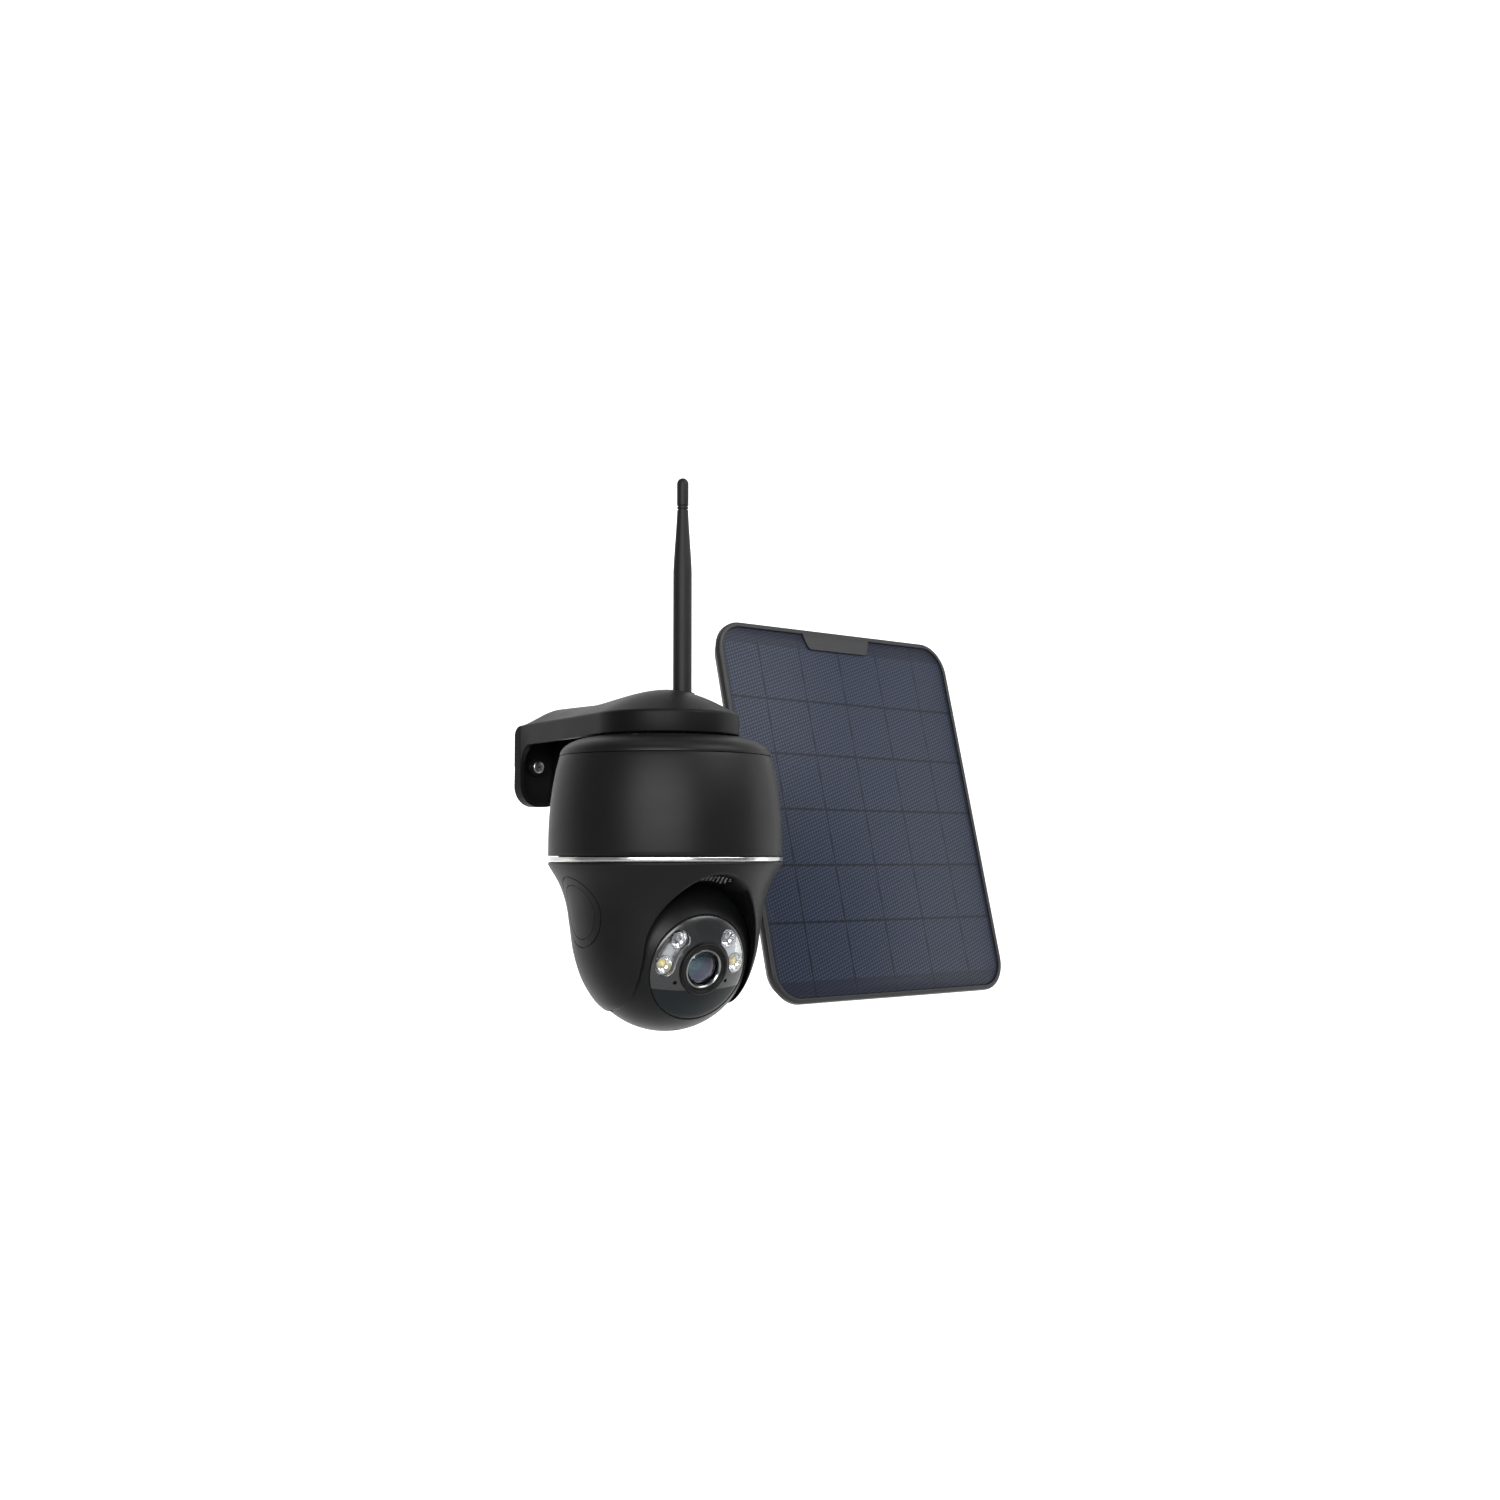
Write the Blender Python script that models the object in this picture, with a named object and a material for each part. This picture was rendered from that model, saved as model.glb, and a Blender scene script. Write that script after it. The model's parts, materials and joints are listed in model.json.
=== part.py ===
"""Solar-powered pan and tilt security camera on its wall bracket, with its separate wall-mounted solar panel.

Lengths in this file are millimetres and angles are degrees; mesh coordinates are turned into metres as
they are made.  The origin is on the wall plane, at the back face of the camera's wall bracket.  +Y points
into the wall, -Y is the front, +Z is up.  Heights named *_Z are measured from the waist ring's top plane.
"""
import math

import bmesh
import bpy
from mathutils import Matrix, Vector

MM = 0.001
GAP = 0.3                 # air left between two solids that touch

# ---------------------------------------------------------------- driving dimensions
REACH = 94.0              # wall plane to pan axis
WAIST_DROP = 31.0         # the waist ring's top plane lies this far below the origin
PAN_REST = -9.6           # the head is turned this much about +Z at rest
TILT_REST = 16.0          # the lens looks down this much at rest

RING_R = 49.2
RING_H = 1.7
BARREL_R = 49.0           # barrel radius at the waist
BARREL_TOP_R = 44.4
BARREL_TOP_Z = 42.0
BARREL_BULGE = 2.6        # exponent of the barrel's inward curve
BARREL_WALL = 2.2
COVER_TOP_Z = 50.2
COVER_FLAT_R = 27.0       # the top cover is flat inside this radius
COVER_SCREW_R = 34.0
COVER_SCREW_ANGLES = (29.0, 119.0, 209.0, 299.0)

CAP_R = 31.0              # round cap of the bracket, on top of the camera
CAP_BOTTOM_Z = 50.6
CAP_SIDE_Z = 59.5         # top of the cap's and arm's upright sides
CAP_CROWN = 10.9          # height of the dome over the upright side
ARM_CROWN = 7.2
ARM_DROP = 23.0           # the arm's crown fades out over this length before the wall
LEG_HALF = 11.5
LEG_BOTTOM_Z = 22.8
LEG_DEPTH = 5.0
LEG_CORNER = 9.5
WEB_R = 10.0              # the inside corner between arm and leg
BRACKET_WALL = 2.0
CAP_STEPS = 22
ARM_STEPS = 9
CROWN_STEPS = 3
WALL_SCREW = (-2.5, 41.0)  # x and height of the wall screw

ANTENNA = (12.0, 3.5)     # antenna axis, from the pan axis
ANTENNA_R = 4.0
ANTENNA_TIP_R = 2.4
ANTENNA_TAPER_Z = (122.0, 148.7)
ANTENNA_TOP_Z = 163.0
COLLAR_SEAT_Z = 66.6

BALL_R = 35.3
BALL_Z = -37.0            # tilt axis height
BALL_WALL = 2.0
BALL_SEAM_Y = 8.0         # the front and rear shells of the ball meet here
SOCKET_R = 36.0
FACE_R = 22.0
FACE_EDGE_Y = -27.5
FACE_CURVE_R = 50.0
AXLE_R = 2.8
SIDE_COVER_R = 10.9
YOKE_TOP_Z = -2.1
YOKE_BOTTOM_Z = -63.2
OPENING_HALF = 26.2       # half width of the yoke's front opening
OPENING_HEIGHT = 22.0     # its arch's height over the tilt axis at the pan axis
OPENING_FLARE = 0.18      # and how much higher it gets for each millimetre forwards
SIDE_COVER_Z = -22.4
SPEAKER_Y = -35.0
PIR_TOP = -8.4            # the motion sensor window fills the face below this height
BEZEL_R = 10.9
LENS_UP = 0.8             # the lens sits this far above the face's centre
LIGHT_R = 16.7            # the light windows are bent round the lens at this radius
LIGHT_HALF = 3.9          # half the width of a light window
BUTTON_ANGLE = 24.0       # the power button sits this far round from the back of the barrel
BUTTON_Z = 14.0

GEAR_BACKLASH = 0.22
PAN_TEETH, PAN_PINION_TEETH, PAN_MODULE = 32, 12, 1.2
TILT_TEETH, TILT_PINION_TEETH, TILT_MODULE = 24, 12, 0.8
TILT_GEAR_X = (20.4, 23.4)
PAN_PINION_ANGLE = 200.0
CENTRE_SLACK = 0.08       # added to each pair of gears' centre distance

PANEL_X = 154.0
PANEL_Z = -13.5           # tilt axis height, from the origin
PANEL_FACE_Y = -64.0
PANEL_LEAN = 13.5
PANEL_W = 161.5
PANEL_H = 184.5
PANEL_CORNER = 16.0
PANEL_RIM = 2.4
PANEL_TILT_BACK = 23.5    # tilt axis behind the panel's face
SWIVEL_Y = -14.0
PANEL_SCREW_Z = 24.0      # the panel bracket's wall screws, above and below its centre
GLAND_Z = -38.0           # the cable gland on the panel's back, from the tilt axis

PAN_AXIS = Vector((0, -REACH, -WAIST_DROP))
SEG = 32                  # facets round the large turned parts
SMALL_SEG = 14            # and round pins, bores and screws


# ---------------------------------------------------------------- helpers
def clear_scene():
    for old in list(bpy.data.objects):
        bpy.data.objects.remove(old, do_unlink=True)


def material(name, colour, roughness, metallic=0.0):
    mat = bpy.data.materials.new(name)
    mat.use_nodes = True
    shader = mat.node_tree.nodes["Principled BSDF"]
    shader.inputs["Base Color"].default_value = (*colour, 1.0)
    shader.inputs["Roughness"].default_value = roughness
    shader.inputs["Metallic"].default_value = metallic
    return mat


def empty(name, location, rotation=(0, 0, 0), parent=None):
    node = bpy.data.objects.new(name, None)
    node.location = Vector(location) * MM
    node.rotation_euler = [math.radians(a) for a in rotation]
    node.parent = parent
    bpy.context.collection.objects.link(node)
    return node


def finish(name, bm, look, parent=None, location=(0, 0, 0), rotation=(0, 0, 0), cutter=False):
    """Turns a bmesh in millimetres into a placed object with smooth sides and sharp edges."""
    bmesh.ops.recalc_face_normals(bm, faces=bm.faces)
    bmesh.ops.scale(bm, vec=(MM, MM, MM), verts=bm.verts)
    mesh = bpy.data.meshes.new(name)
    bm.to_mesh(mesh)
    bm.free()
    mesh.shade_smooth()
    mesh.set_sharp_from_angle(angle=math.radians(32))
    obj = bpy.data.objects.new(name, mesh)
    obj.location = Vector(location) * MM
    obj.rotation_euler = [math.radians(a) for a in rotation]
    obj.parent = parent
    bpy.context.collection.objects.link(obj)
    if cutter:
        obj.hide_render = True
        obj.display_type = 'WIRE'
    else:
        mesh.materials.append(look)
    return obj


def combine(obj, other, operation='DIFFERENCE'):
    mod = obj.modifiers.new(operation.lower(), 'BOOLEAN')
    mod.operation = operation
    mod.object = other
    return obj


def close_cuts(obj):
    """Shells with many small bores lose edges to the exact solver, so they use the manifold one."""
    for mod in obj.modifiers:
        mod.solver = 'MANIFOLD'


def turned(profile, segments=SEG):
    """Solid of revolution about Z from a closed (radius, z) outline."""
    bm = bmesh.new()
    rings = []
    for radius, z in profile:
        if radius < 1e-6:
            rings.append([bm.verts.new((0, 0, z))])
            continue
        angles = [2 * math.pi * i / segments for i in range(segments)]
        rings.append([bm.verts.new((radius * math.cos(a), radius * math.sin(a), z)) for a in angles])
    for first, second in zip(rings, rings[1:] + rings[:1]):
        if len(first) == 1 and len(second) == 1:
            continue
        for i in range(segments):
            j = (i + 1) % segments
            corners = [first[i % len(first)], first[j % len(first)],
                       second[j % len(second)], second[i % len(second)]]
            bm.faces.new(list(dict.fromkeys(corners)))
    return bm


def prism(outline, low, high):
    """Upright prism over a closed (x, y) outline."""
    bm = bmesh.new()
    bottom = [bm.verts.new((x, y, low)) for x, y in outline]
    top = [bm.verts.new((x, y, high)) for x, y in outline]
    bm.faces.new(bottom)
    bm.faces.new(top)
    for i in range(len(outline)):
        j = (i + 1) % len(outline)
        bm.faces.new((bottom[i], bottom[j], top[j], top[i]))
    return bm


def spin_to(bm, axis):
    """Lays a shape made along +Z so that it runs along +X or +Y."""
    turn = {'X': Matrix.Rotation(math.radians(90), 4, 'Y'), 'Y': Matrix.Rotation(math.radians(-90), 4, 'X')}
    bmesh.ops.transform(bm, matrix=turn[axis], verts=bm.verts)
    return bm


def block(low, high):
    return prism([(low[0], low[1]), (high[0], low[1]), (high[0], high[1]), (low[0], high[1])], low[2], high[2])


def drum(radius, low, high, segments=SMALL_SEG):
    return turned([(0, low), (radius, low), (radius, high), (0, high)], segments)


def arc(cx, cy, radius, start, end, steps):
    angles = [math.radians(start + (end - start) * i / steps) for i in range(steps + 1)]
    return [(cx + radius * math.cos(a), cy + radius * math.sin(a)) for a in angles]


def rounded_rectangle(width, height, corner, steps=5):
    x, y = width / 2 - corner, height / 2 - corner
    return (arc(x, y, corner, 0, 90, steps) + arc(-x, y, corner, 90, 180, steps)
            + arc(-x, -y, corner, 180, 270, steps) + arc(x, -y, corner, 270, 360, steps))


def spline(points, steps):
    """Catmull-Rom curve through the points."""
    ends = [points[0]] + list(points) + [points[-1]]
    out = []
    for a, b, c, d in zip(ends, ends[1:], ends[2:], ends[3:]):
        for i in range(steps):
            t = i / steps
            out.append(tuple(0.5 * (2 * q + (r - p) * t + (2 * p - 5 * q + 4 * r - s) * t * t
                                    + (3 * q - p - 3 * r + s) * t ** 3) for p, q, r, s in zip(a, b, c, d)))
    return out + [points[-1]]


def gear_outline(teeth, module, turn=0.0):
    """Involute teeth of 20 degrees pressure angle, slightly stubbed, with backlash."""
    pitch = teeth * module / 2
    base = pitch * math.cos(math.radians(20))
    tip = pitch + 0.85 * module
    root = pitch - 1.1 * module
    half = (math.pi * module / 2 - GEAR_BACKLASH) / 2 / pitch

    def roll(radius):
        angle = math.acos(min(1.0, base / radius))
        return math.tan(angle) - angle

    flank = [max(root, base), tip]
    outline = []
    for tooth in range(teeth):
        centre = 2 * math.pi * tooth / teeth + math.radians(turn)
        rising = [(r, centre - half - roll(pitch) + roll(r)) for r in flank]
        falling = [(r, 2 * centre - a) for r, a in reversed(rising)]
        foot = [(root, rising[0][1] - 0.15 * half), (root, falling[-1][1] + 0.15 * half)]
        for r, a in foot[:1] + rising + falling + foot[1:]:
            outline.append((r * math.cos(a), r * math.sin(a)))
    return outline


def gear(teeth, module, low, high, bore, turn=0.0):
    bm = prism(gear_outline(teeth, module, turn), low, high)
    if bore:
        caps = [f for f in bm.faces if abs(f.normal.z) > 0.5 or len(f.verts) > 8]
        bmesh.ops.delete(bm, geom=caps, context='FACES_ONLY')
        count = SMALL_SEG
        rings = []
        for z in (low, high):
            ring = [bm.verts.new((bore * math.cos(2 * math.pi * i / count),
                                  bore * math.sin(2 * math.pi * i / count), z)) for i in range(count)]
            inner = [bm.edges.new((ring[i], ring[(i + 1) % count])) for i in range(count)]
            outer = [e for e in bm.edges if e.is_boundary and abs(e.verts[0].co.z - z) < 1e-6
                     and abs(e.verts[1].co.z - z) < 1e-6]
            bmesh.ops.triangle_fill(bm, use_beauty=True, edges=inner + outer)
            rings.append(ring)
        for i in range(count):
            j = (i + 1) % count
            bm.faces.new((rings[0][i], rings[0][j], rings[1][j], rings[1][i]))
    return bm


# ---------------------------------------------------------------- looks
def looks():
    return {
        "housing": material("housing_matte_black", (0.030, 0.030, 0.031), 0.48),
        "bracket": material("bracket_matte_black", (0.032, 0.032, 0.033), 0.50),
        "face": material("face_gloss_black", (0.010, 0.011, 0.012), 0.10),
        "window": material("window_clear", (0.80, 0.82, 0.84), 0.05),
        "pir": material("pir_blue_black", (0.018, 0.026, 0.030), 0.30),
        "glass": material("lens_glass", (0.02, 0.02, 0.03), 0.02),
        "chrome": material("ring_bright", (0.85, 0.84, 0.82), 0.12, 1.0),
        "rubber": material("rubber_black", (0.020, 0.020, 0.020), 0.80),
        "steel": material("screw_steel", (0.62, 0.61, 0.59), 0.30, 1.0),
        "board": material("board_green", (0.020, 0.110, 0.050), 0.45),
        "cell": material("cell_wrap", (0.050, 0.110, 0.260), 0.35),
        "gear": material("gear_white", (0.78, 0.77, 0.72), 0.45),
        "motor": material("motor_steel", (0.55, 0.56, 0.57), 0.35, 1.0),
        "brass": material("connector_brass", (0.72, 0.52, 0.22), 0.28, 1.0),
        "chip_white": material("led_phosphor", (0.78, 0.70, 0.36), 0.40),
        "chip_ir": material("led_clear", (0.62, 0.63, 0.64), 0.20),
        "frame": material("panel_frame_grey", (0.075, 0.078, 0.080), 0.50),
        "case": material("panel_case_black", (0.030, 0.031, 0.033), 0.55),
        "cells": material("solar_cells_navy", (0.030, 0.045, 0.090), 0.30),
    }


# ---------------------------------------------------------------- camera: wall bracket
def crown(y):
    """Height of the crown's spine over the upright sides."""
    fade = math.sin(math.pi / 2 * max(0.0, min(1.0, (REACH - y) / ARM_DROP)))
    blend = max(0.0, min(1.0, y / 45.0))
    blend = blend * blend * (3 - 2 * blend)
    return (CAP_CROWN + (ARM_CROWN - CAP_CROWN) * blend) * fade


def belly(y):
    """Underside of the arm: level, then curving down into the leg."""
    start = REACH - LEG_DEPTH - WEB_R
    run = max(0.0, min(WEB_R, y - start))
    return CAP_BOTTOM_Z - WEB_R + math.sqrt(WEB_R ** 2 - run ** 2)


def crowned_arm(inset, lowest, crown_drop, end_y):
    """Cap and arm in one body: upright sides under a rounded crown, from the cap's front to end_y."""
    slope = math.degrees(math.asin((CAP_R - LEG_HALF) / (REACH - LEG_DEPTH)))
    cap = arc(0, 0, CAP_R - inset, slope, -180 - slope, CAP_STEPS)
    start_x, start_y = cap[0]
    leg_y = REACH - LEG_DEPTH
    far_half = LEG_HALF - inset
    ladder = [start_y + (end_y - start_y) * math.sin(math.pi / 2 * i / ARM_STEPS) for i in range(1, ARM_STEPS + 1)]

    def half(y):
        return start_x + (far_half - start_x) * min(1.0, (y - start_y) / (leg_y - start_y))

    outline = cap + [(-half(y), y) for y in ladder] + [(half(y), y) for y in reversed(ladder)]
    count = len(outline)
    bm = bmesh.new()
    foot = [bm.verts.new((x, y, belly(y) if lowest is None else lowest)) for x, y in outline]
    rings = [foot]
    for step in range(CROWN_STEPS):
        part = step / CROWN_STEPS
        ring = []
        for x, y in outline:
            across, along = x * (1 - part), y + (max(0.0, y) - y) * part
            rise = (crown(along) - crown_drop) * math.sin(math.pi / 2 * part)
            ring.append(bm.verts.new((across, along, CAP_SIDE_Z + rise)))
        rings.append(ring)
    for low, high in zip(rings, rings[1:]):
        for i in range(count):
            j = (i + 1) % count
            bm.faces.new((low[i], low[j], high[j], high[i]))
    spine = [bm.verts.new((0, y, CAP_SIDE_Z + crown(y) - crown_drop)) for y in [0] + ladder]
    last = rings[-1]
    for i in range(CAP_STEPS):
        bm.faces.new((last[i], last[i + 1], spine[0]))
    for k in range(ARM_STEPS):
        bm.faces.new((last[CAP_STEPS + k], last[CAP_STEPS + k + 1], spine[k + 1], spine[k]))
        bm.faces.new((last[(count - k) % count], spine[k], spine[k + 1], last[count - 1 - k]))
        bm.faces.new((foot[(count - k) % count], foot[count - 1 - k], foot[CAP_STEPS + k + 1], foot[CAP_STEPS + k]))
    bm.faces.new((last[CAP_STEPS + ARM_STEPS], last[CAP_STEPS + ARM_STEPS + 1], spine[-1]))
    bm.faces.new(foot[:CAP_STEPS + 1])
    bmesh.ops.triangulate(bm, faces=bm.faces)
    return bm


def leg_outline(half, low, high, corner):
    return ([(-half, high)] + arc(-half + corner, low + corner, corner, 180, 270, 6)
            + arc(half - corner, low + corner, corner, 270, 360, 6) + [(half, high)])


def standing(outline, near, far):
    """Prism over an (x, z) outline, from y = near to y = far."""
    bm = prism(outline, -far, -near)
    bmesh.ops.transform(bm, matrix=Matrix.Rotation(math.radians(90), 4, 'X'), verts=bm.verts)
    return bm


def make_bracket(look, base):
    inside = 0.05             # the joined bodies are a little smaller, so that no faces lie in one plane
    shell = finish("wall_bracket", crowned_arm(0, None, 0, REACH - inside), look["bracket"], base)
    outline = leg_outline(LEG_HALF - inside, LEG_BOTTOM_Z, CAP_SIDE_Z - inside, LEG_CORNER)
    leg = standing(outline, REACH - LEG_DEPTH - inside, REACH)
    combine(shell, finish("leg_solid", leg, None, base, cutter=True), 'UNION')
    hollow = crowned_arm(BRACKET_WALL, CAP_BOTTOM_Z - 1.0, BRACKET_WALL, REACH - BRACKET_WALL - inside)
    hollow = finish("bracket_hollow", hollow, None, base, cutter=True)
    boss = drum(8.0, 40, 80)
    combine(hollow, finish("stud_boss", boss, None, base, cutter=True))
    seat = drum(7.0, 41, 81)
    combine(hollow, finish("antenna_boss", seat, None, base, (*ANTENNA, 0), cutter=True))
    combine(shell, hollow)
    outline = leg_outline(LEG_HALF - BRACKET_WALL + inside, LEG_BOTTOM_Z + BRACKET_WALL, CAP_BOTTOM_Z + 1.2,
                          LEG_CORNER - BRACKET_WALL)
    pocket = finish("leg_pocket", standing(outline, REACH - 40, REACH - BRACKET_WALL), None, base, cutter=True)
    screw_boss = spin_to(drum(3.9, REACH - 4.6, REACH + 1, SMALL_SEG), 'Y')
    combine(pocket, finish("screw_boss", screw_boss, None, base, (WALL_SCREW[0], 0, WALL_SCREW[1]), cutter=True))
    combine(shell, pocket)
    stepped = [(0, 49), (3.6, 49), (3.6, 61.8), (ANTENNA_R + GAP, 61.8), (ANTENNA_R + GAP, COLLAR_SEAT_Z),
               (5.8, COLLAR_SEAT_Z), (5.8, 80), (0, 80)]
    for name, bm, place in (
            ("stud_hole", drum(3.5, CAP_BOTTOM_Z - 1, 57.2, SMALL_SEG), (0, 0, 0)),
            ("antenna_hole", turned(stepped, SMALL_SEG), (*ANTENNA, 0)),
            ("screw_hole", spin_to(drum(1.9, REACH - 8, REACH + 1), 'Y'), (WALL_SCREW[0], 0, WALL_SCREW[1]))):
        combine(shell, finish(name, bm, None, base, place, cutter=True))
    return shell


def make_bracket_hardware(look, base):
    head = REACH - 4.6 - GAP
    screw = turned([(0, head - 2.2), (1.6, head - 2.1), (2.5, head - 1.3), (2.8, head), (1.6, head),
                    (1.6, REACH - 0.3), (0, REACH - 0.3)], SMALL_SEG)
    finish("wall_screw", spin_to(screw, 'Y'), look["steel"], base, (WALL_SCREW[0], 0, WALL_SCREW[1]))
    finish("mount_stud", drum(3.2, 43.2, 56.8, SMALL_SEG), look["steel"], base)
    stem = turned([(0, 43.2), (3.2, 43.2), (3.2, 61.6), (0, 61.6)], SMALL_SEG)
    finish("antenna_connector", stem, look["brass"], base, (*ANTENNA, 0))
    bore, seat = ANTENNA_R + GAP, COLLAR_SEAT_Z + GAP
    collar = turned([(bore, seat), (5.5, seat), (5.5, 69.5), (5.1, 70.1), (bore, 70.1)], SMALL_SEG)
    finish("antenna_collar", collar, look["rubber"], base, (*ANTENNA, 0))
    low, high = ANTENNA_TAPER_Z
    sleeve = turned([(0, 61.9), (ANTENNA_R, 61.9), (ANTENNA_R, low), (ANTENNA_TIP_R, high), (0, high)], SMALL_SEG)
    finish("antenna_sleeve", sleeve, look["rubber"], base, (*ANTENNA, 0))
    z = high + GAP
    tip_r = ANTENNA_TIP_R + 0.15
    tip = [(0, z), (2.1, z), (2.1, z + 0.5), (2.4, z + 0.6), (2.4, z + 1.3), (2.1, z + 1.4), (2.1, z + 2.1)]
    tip += [(tip_r, z + 2.4)] + arc(0, ANTENNA_TOP_Z - tip_r, tip_r, 0, 90, 4)[:-1] + [(0, ANTENNA_TOP_Z)]
    finish("antenna_tip", turned(tip, 12), look["rubber"], base, (*ANTENNA, 0))


# ---------------------------------------------------------------- camera: fixed barrel
def barrel_radius(z):
    return BARREL_R - (BARREL_R - BARREL_TOP_R) * (max(0.0, z) / BARREL_TOP_Z) ** BARREL_BULGE


def cover_profile(inset, steps):
    """The top cover's outer curve, or a curve a little inside it."""
    a = BARREL_TOP_R - COVER_FLAT_R
    b = COVER_TOP_Z - BARREL_TOP_Z
    curve = [(COVER_FLAT_R + (a - inset) * math.cos(t), BARREL_TOP_Z + GAP + (b - GAP - inset) * math.sin(t))
             for t in [math.pi / 2 * i / steps for i in range(steps + 1)]]
    return curve + [(0, COVER_TOP_Z - inset)]


def make_barrel(look, base):
    low = 0.4
    heights = [low + (BARREL_TOP_Z - GAP - low) * i / 4 for i in range(5)]
    outer = [(barrel_radius(z), z) for z in heights]
    inner = [(r - BARREL_WALL, z) for r, z in reversed(outer)]
    shell = finish("barrel_shell", turned(outer + inner), look["housing"], base)
    for number, angle in enumerate(COVER_SCREW_ANGLES):
        post = drum(3.2, 24.0, 41.4)
        rib = block((2.4, -1.1, 25.0), (barrel_radius(33) - COVER_SCREW_R - 0.6, 1.1, 35.0))
        spot = (COVER_SCREW_R * math.cos(math.radians(angle)), COVER_SCREW_R * math.sin(math.radians(angle)), 0)
        combine(shell, finish("post_%d" % number, post, None, base, spot, cutter=True), 'UNION')
        combine(shell, finish("rib_%d" % number, rib, None, base, spot, (0, 0, angle), cutter=True), 'UNION')
        combine(shell, finish("post_bore_%d" % number, drum(1.4, 36.0, 60), None, base, spot, cutter=True))
    flap = block((-8.5, 40, 9.4), (8.5, 60, 19.0))
    combine(shell, finish("port_recess", flap, None, base, cutter=True))
    bore = spin_to(drum(3.5, 30, 60), 'Y')
    combine(shell, finish("button_bore", bore, None, base, (0, 0, BUTTON_Z), (0, 0, BUTTON_ANGLE), cutter=True))

    outer = cover_profile(0, 4)
    inner = list(reversed(cover_profile(BARREL_WALL, 2)))
    spigot_r = barrel_radius(BARREL_TOP_Z) - BARREL_WALL - 0.5
    skirt = [(spigot_r - 1.8, BARREL_TOP_Z + GAP), (spigot_r - 1.8, 38.5), (spigot_r, 38.5),
             (spigot_r, BARREL_TOP_Z + GAP)]
    cover = turned(outer + [(0, COVER_TOP_Z - BARREL_WALL)] + inner[1:-1] + skirt)
    cover = finish("top_cover", cover, look["housing"], base)
    combine(cover, finish("stud_boss_in_cover", drum(6.5, 43.0, 49.0, SMALL_SEG), None, base, cutter=True), 'UNION')
    combine(cover, finish("stud_bore", drum(3.5, 40, 60, SMALL_SEG), None, base, cutter=True))
    combine(cover, finish("connector_bore", drum(3.5, 40, 60, SMALL_SEG), None, base, (*ANTENNA, 0), cutter=True))
    for number, angle in enumerate(COVER_SCREW_ANGLES):
        spot = (COVER_SCREW_R * math.cos(math.radians(angle)), COVER_SCREW_R * math.sin(math.radians(angle)), 0)
        combine(cover, finish("cover_bore_%d" % number, drum(1.4, 40, 60), None, base, spot, cutter=True))
        combine(cover, finish("cover_sink_%d" % number, drum(2.5, 48.0, 60), None, base, spot, cutter=True))
        screw = [(0, 37.0), (1.1, 37.0), (1.1, 48.3), (2.2, 48.3), (2.2, 49.0), (1.7, 49.3), (0, 49.3)]
        finish("cover_screw_%d" % (number + 1), turned(screw, SMALL_SEG), look["rubber"], base, spot)
    close_cuts(shell)
    close_cuts(cover)

    plate = [(12.0, 1.0), (42.9, 1.0), (42.9, -RING_H), (44.7, -RING_H), (44.7, 1.0), (46.2, 1.0),
             (46.2, 3.6), (12.0, 3.6)]
    finish("base_plate", turned(plate), look["housing"], base)
    ring = [(45.0, -RING_H), (RING_R, -RING_H), (RING_R, 0), (45.0, 0)]
    finish("trim_ring", turned(ring), look["chrome"], base)


def make_barrel_inside(look, base):
    finish("main_board", drum(42.5, 21.3, 22.9, 32), look["board"], base)
    cell = 9.15
    outline = arc(cell, 0, cell, -90, 90, 12) + arc(-cell, 0, cell, 90, 270, 12)
    pack = prism(outline, -32.5, 32.5)
    bmesh.ops.transform(pack, matrix=Matrix.Rotation(math.radians(90), 4, 'X'), verts=pack.verts)
    finish("battery_pack", pack, look["cell"], base, (0, 0, 32.4), (0, 0, COVER_SCREW_ANGLES[0] + 45))
    spot = pan_pinion_place()
    finish("pan_motor", drum(12.0, 9.6, 20.8), look["motor"], base, spot)
    finish("charging_socket", block((-4.5, 38.6, 12.0), (4.5, 46.2, 15.4)), look["steel"], base)
    outer_y = math.sqrt(barrel_radius(BUTTON_Z) ** 2 - 8.2 ** 2)
    bevel = 1.6
    outline = [(outer_y, 9.8), (outer_y, 18.6), (outer_y - bevel, 18.6), (outer_y - bevel, 9.8 + bevel)]
    flap = prism(outline, -8.1, 8.1)
    lay = Matrix(((0, 0, 1, 0), (1, 0, 0, 0), (0, 1, 0, 0), (0, 0, 0, 1)))
    bmesh.ops.transform(flap, matrix=lay, verts=flap.verts)
    bmesh.ops.translate(flap, vec=(0, -outer_y, -9.8), verts=flap.verts)
    finish("port_cover", flap, look["rubber"], base, (0, outer_y, 9.8))
    button = turned([(0, -5.5), (3.2, -5.5), (3.2, 0.4), (2.8, 0.9), (0, 0.9)], SMALL_SEG)
    turn = math.radians(BUTTON_ANGLE)
    place = empty("button_axis", (-math.sin(turn) * 48.4, math.cos(turn) * 48.4, BUTTON_Z),
                  (-90, 0, BUTTON_ANGLE), base)
    finish("power_button", button, look["rubber"], place)


def pan_pinion_place():
    distance = (PAN_TEETH + PAN_PINION_TEETH) * PAN_MODULE / 2 + CENTRE_SLACK
    angle = math.radians(PAN_PINION_ANGLE)
    return (distance * math.cos(angle), distance * math.sin(angle), 0)


def mesh_turn(angle, teeth, other_teeth, phase):
    """Turn that puts a gap of the second gear opposite the first gear's tooth along the line of centres."""
    return angle + 180 + 180 / other_teeth + (angle - phase) * teeth / other_teeth


# ---------------------------------------------------------------- pan head
def yoke_curve():
    points = [(49.0, YOKE_TOP_Z - 0.9), (48.2, -4.4), (44.2, -11.3), (41.4, -19.5), (39.9, -28.9), (38.2, -40.0),
              (34.7, -50.8), (29.6, -59.2), (25.4, YOKE_BOTTOM_Z)]
    return [(48.2, YOKE_TOP_Z)] + spline(points, 1)


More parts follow.
